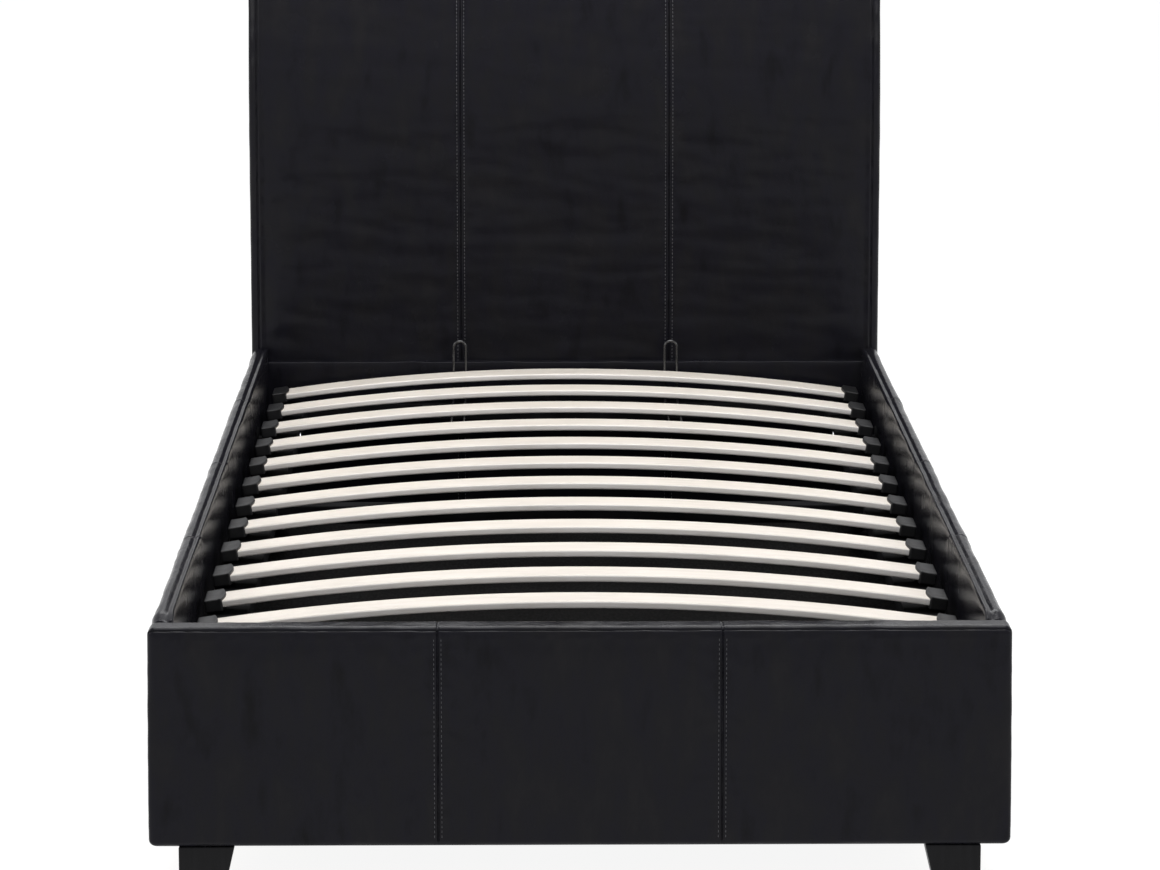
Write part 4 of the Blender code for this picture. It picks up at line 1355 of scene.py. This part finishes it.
def make_deck_stop():
    """The angle that the deck rests on, screwed to the footboard."""
    low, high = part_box("deck_stop")
    angle = refined_copy("deck_stop_angle", "deck_stop", powder_steel(), 0.0006, 2)
    settle(angle, "base", "black_steel", "deck_stop")
    spots = [(x, low.y + PLATE_THICKNESS, low.z + 0.014) for x in STOP_SCREWS]
    screws = [pan_screw(spot, (0, 1, 0)) for spot in spots]
    settle(join_pieces("deck_stop_screws", screws), "base", "black_steel")


# ---- stage --------------------------------------------------------------------------
FLOOR_SIZE = 60.0
FLOOR_TONE = (0.15, 0.15, 0.15)
FLOOR_GLOW = 0.905
# The studio's light by direction: behind the camera, beside the bed, behind the headboard.
STUDIO_LIGHT = (
    (0.0, (0.80, 0.80, 0.81)),
    (0.45, (0.48, 0.48, 0.49)),
    (1.0, (0.60, 0.60, 0.61)),
)


# Each softbox: its name, place, target, width, depth and power.
SOFTBOXES = (
    ("softbox_top", (0, 0.2, 3.4), (0, 0, 0.35), 2.6, 3.2, 122),
    ("softbox_back", (0, 4.4, 3.0), (0, 0, 0.4), 3.6, 0.9, 34),
    ("softbox_left", (-3.4, -0.4, 2.1), (0, 0, 0.3), 2.6, 1.0, 22),
    ("softbox_right", (3.4, -0.4, 2.1), (0, 0, 0.3), 2.6, 1.0, 22),
)


def floor_material():
    """Pale, even studio floor with a little of its own light."""
    material, tree, shader = new_material("studio_floor", FLOOR_TONE, 0.8, specular=0.1)
    shader.inputs["Emission Color"].default_value = (1, 1, 1, 1)
    shader.inputs["Emission Strength"].default_value = FLOOR_GLOW
    stops = ((0.3, shade(FLOOR_TONE, 0.985)), (0.7, FLOOR_TONE))
    tint(tree, shader, noise_map(tree, 0.6, 2.0), stops)
    return material


def area_light(name, place, target, size, size_y, power):
    data = bpy.data.lights.new(name, "AREA")
    data.shape = "RECTANGLE"
    data.size = size
    data.size_y = size_y
    data.energy = power
    light = link_piece(name, data)
    light.location = place
    light.rotation_euler = (Vector(target) - Vector(place)).to_track_quat("-Z", "Y").to_euler()


def make_stage(settings):
    """Floor, soft light and the camera."""
    half = FLOOR_SIZE / 2
    corners = [(-half, -half, 0), (half, -half, 0), (half, half, 0), (-half, half, 0)]
    floor = mesh_piece("studio_floor", corners, [(0, 1, 2, 3)], floor_material())
    world = bpy.data.worlds.new("studio")
    world.use_nodes = True
    sky = world.node_tree
    place = add_node(sky, "TexCoord")
    split = add_node(sky, "SeparateXYZ")
    sky.links.new(place.outputs["Generated"], split.inputs["Vector"])
    glow = ramp(sky, remap(sky, split.outputs["Y"], 0.0, 1.0, -0.9, 0.9), STUDIO_LIGHT)
    sky.links.new(glow, sky.nodes["Background"].inputs["Color"])
    bpy.context.scene.world = world
    for light in SOFTBOXES:
        area_light(*light)
    data = bpy.data.cameras.new("camera")
    data.lens = settings.lens
    data.sensor_width = 36.0
    camera = link_piece("camera", data)
    camera.location = (settings.across, CAD_LOW.y - settings.distance, settings.height)
    camera.rotation_euler = (math.pi / 2 - settings.pitch, 0, -settings.yaw)
    bpy.context.scene.camera = camera
    bpy.context.scene.view_settings.view_transform = "Standard"


# ---- operators ----------------------------------------------------------------------
class SLEIGH_OT_headboard(bpy.types.Operator):
    """Make the rolled headboard with its seams and stitching"""

    bl_idname = "sleigh.headboard"
    bl_label = "Headboard"

    def execute(self, context):
        make_headboard(context.scene.sleigh_leather)
        return {"FINISHED"}


class SLEIGH_OT_footboard(bpy.types.Operator):
    """Make the padded footboard"""

    bl_idname = "sleigh.footboard"
    bl_label = "Footboard"

    def execute(self, context):
        make_footboard(context.scene.sleigh_leather)
        return {"FINISHED"}


class SLEIGH_OT_rails(bpy.types.Operator):
    """Make both side rails and the head rail"""

    bl_idname = "sleigh.rails"
    bl_label = "Rails"

    def execute(self, context):
        settings = context.scene.sleigh_leather
        for hand, side in SIDES:
            make_side_rail(hand, side, settings)
        make_head_rail()
        return {"FINISHED"}


class SLEIGH_OT_feet(bpy.types.Operator):
    """Make the four block feet"""

    bl_idname = "sleigh.feet"
    bl_label = "Feet"

    def execute(self, context):
        make_feet()
        return {"FINISHED"}


class SLEIGH_OT_floor(bpy.types.Operator):
    """Make the storage well's floor"""

    bl_idname = "sleigh.storage_floor"
    bl_label = "Storage Floor"

    def execute(self, context):
        make_storage_floor()
        return {"FINISHED"}


class SLEIGH_OT_slats(bpy.types.Operator):
    """Make the twelve bowed slats"""

    bl_idname = "sleigh.slats"
    bl_label = "Slats"

    def execute(self, context):
        make_slats(context.scene.sleigh_slats)
        return {"FINISHED"}


class SLEIGH_OT_caps(bpy.types.Operator):
    """Make the slats' end caps"""

    bl_idname = "sleigh.slat_caps"
    bl_label = "Slat Caps"

    def execute(self, context):
        make_slat_caps(context.scene.sleigh_slats)
        return {"FINISHED"}


class SLEIGH_OT_deck(bpy.types.Operator):
    """Make the steel deck under the slats"""

    bl_idname = "sleigh.steel_deck"
    bl_label = "Steel Deck"

    def execute(self, context):
        make_deck_tubes()
        make_deck_stop()
        return {"FINISHED"}


class SLEIGH_OT_retainers(bpy.types.Operator):
    """Make the wire loops that hold the mattress"""

    bl_idname = "sleigh.retainers"
    bl_label = "Mattress Retainers"

    def execute(self, context):
        make_retainers(context.scene.sleigh_steel)
        return {"FINISHED"}


class SLEIGH_OT_lift(bpy.types.Operator):
    """Make the gas struts and the hinge plates"""

    bl_idname = "sleigh.lift"
    bl_label = "Lift Hardware"

    def execute(self, context):
        make_gas_struts()
        make_hinge_plates()
        return {"FINISHED"}


class SLEIGH_OT_stage(bpy.types.Operator):
    """Set the floor, the lights and the camera"""

    bl_idname = "sleigh.stage"
    bl_label = "Stage"

    def execute(self, context):
        make_stage(context.scene.sleigh_stage)
        return {"FINISHED"}


PIECE_OPERATORS = (
    SLEIGH_OT_headboard,
    SLEIGH_OT_footboard,
    SLEIGH_OT_rails,
    SLEIGH_OT_feet,
    SLEIGH_OT_floor,
    SLEIGH_OT_slats,
    SLEIGH_OT_caps,
    SLEIGH_OT_deck,
    SLEIGH_OT_retainers,
    SLEIGH_OT_lift,
    SLEIGH_OT_stage,
)


class SLEIGH_PT_pieces(bpy.types.Panel):
    """The bed's pieces, in the order in which they are made"""

    bl_idname = "SLEIGH_PT_pieces"
    bl_label = "Sleigh Bed"
    bl_space_type = "VIEW_3D"
    bl_region_type = "UI"
    bl_category = "Sleigh Bed"

    def draw(self, context):
        for operator in PIECE_OPERATORS:
            self.layout.operator(operator.bl_idname)


SETTINGS = (
    ("sleigh_leather", SleighLeatherSettings),
    ("sleigh_slats", SleighSlatSettings),
    ("sleigh_steel", SleighSteelSettings),
    ("sleigh_stage", SleighStageSettings),
)


def register():
    for name, group in SETTINGS:
        bpy.utils.register_class(group)
        setattr(bpy.types.Scene, name, PointerProperty(type=group))
    for shown in (*PIECE_OPERATORS, SLEIGH_PT_pieces):
        bpy.utils.register_class(shown)


def unregister():
    for shown in reversed((*PIECE_OPERATORS, SLEIGH_PT_pieces)):
        bpy.utils.unregister_class(shown)
    for name, group in reversed(SETTINGS):
        delattr(bpy.types.Scene, name)
        bpy.utils.unregister_class(group)


def main():
    register()
    for operator in PIECE_OPERATORS:
        family, name = operator.bl_idname.split(".")
        getattr(getattr(bpy.ops, family), name)()


if __name__ == "__main__":
    main()
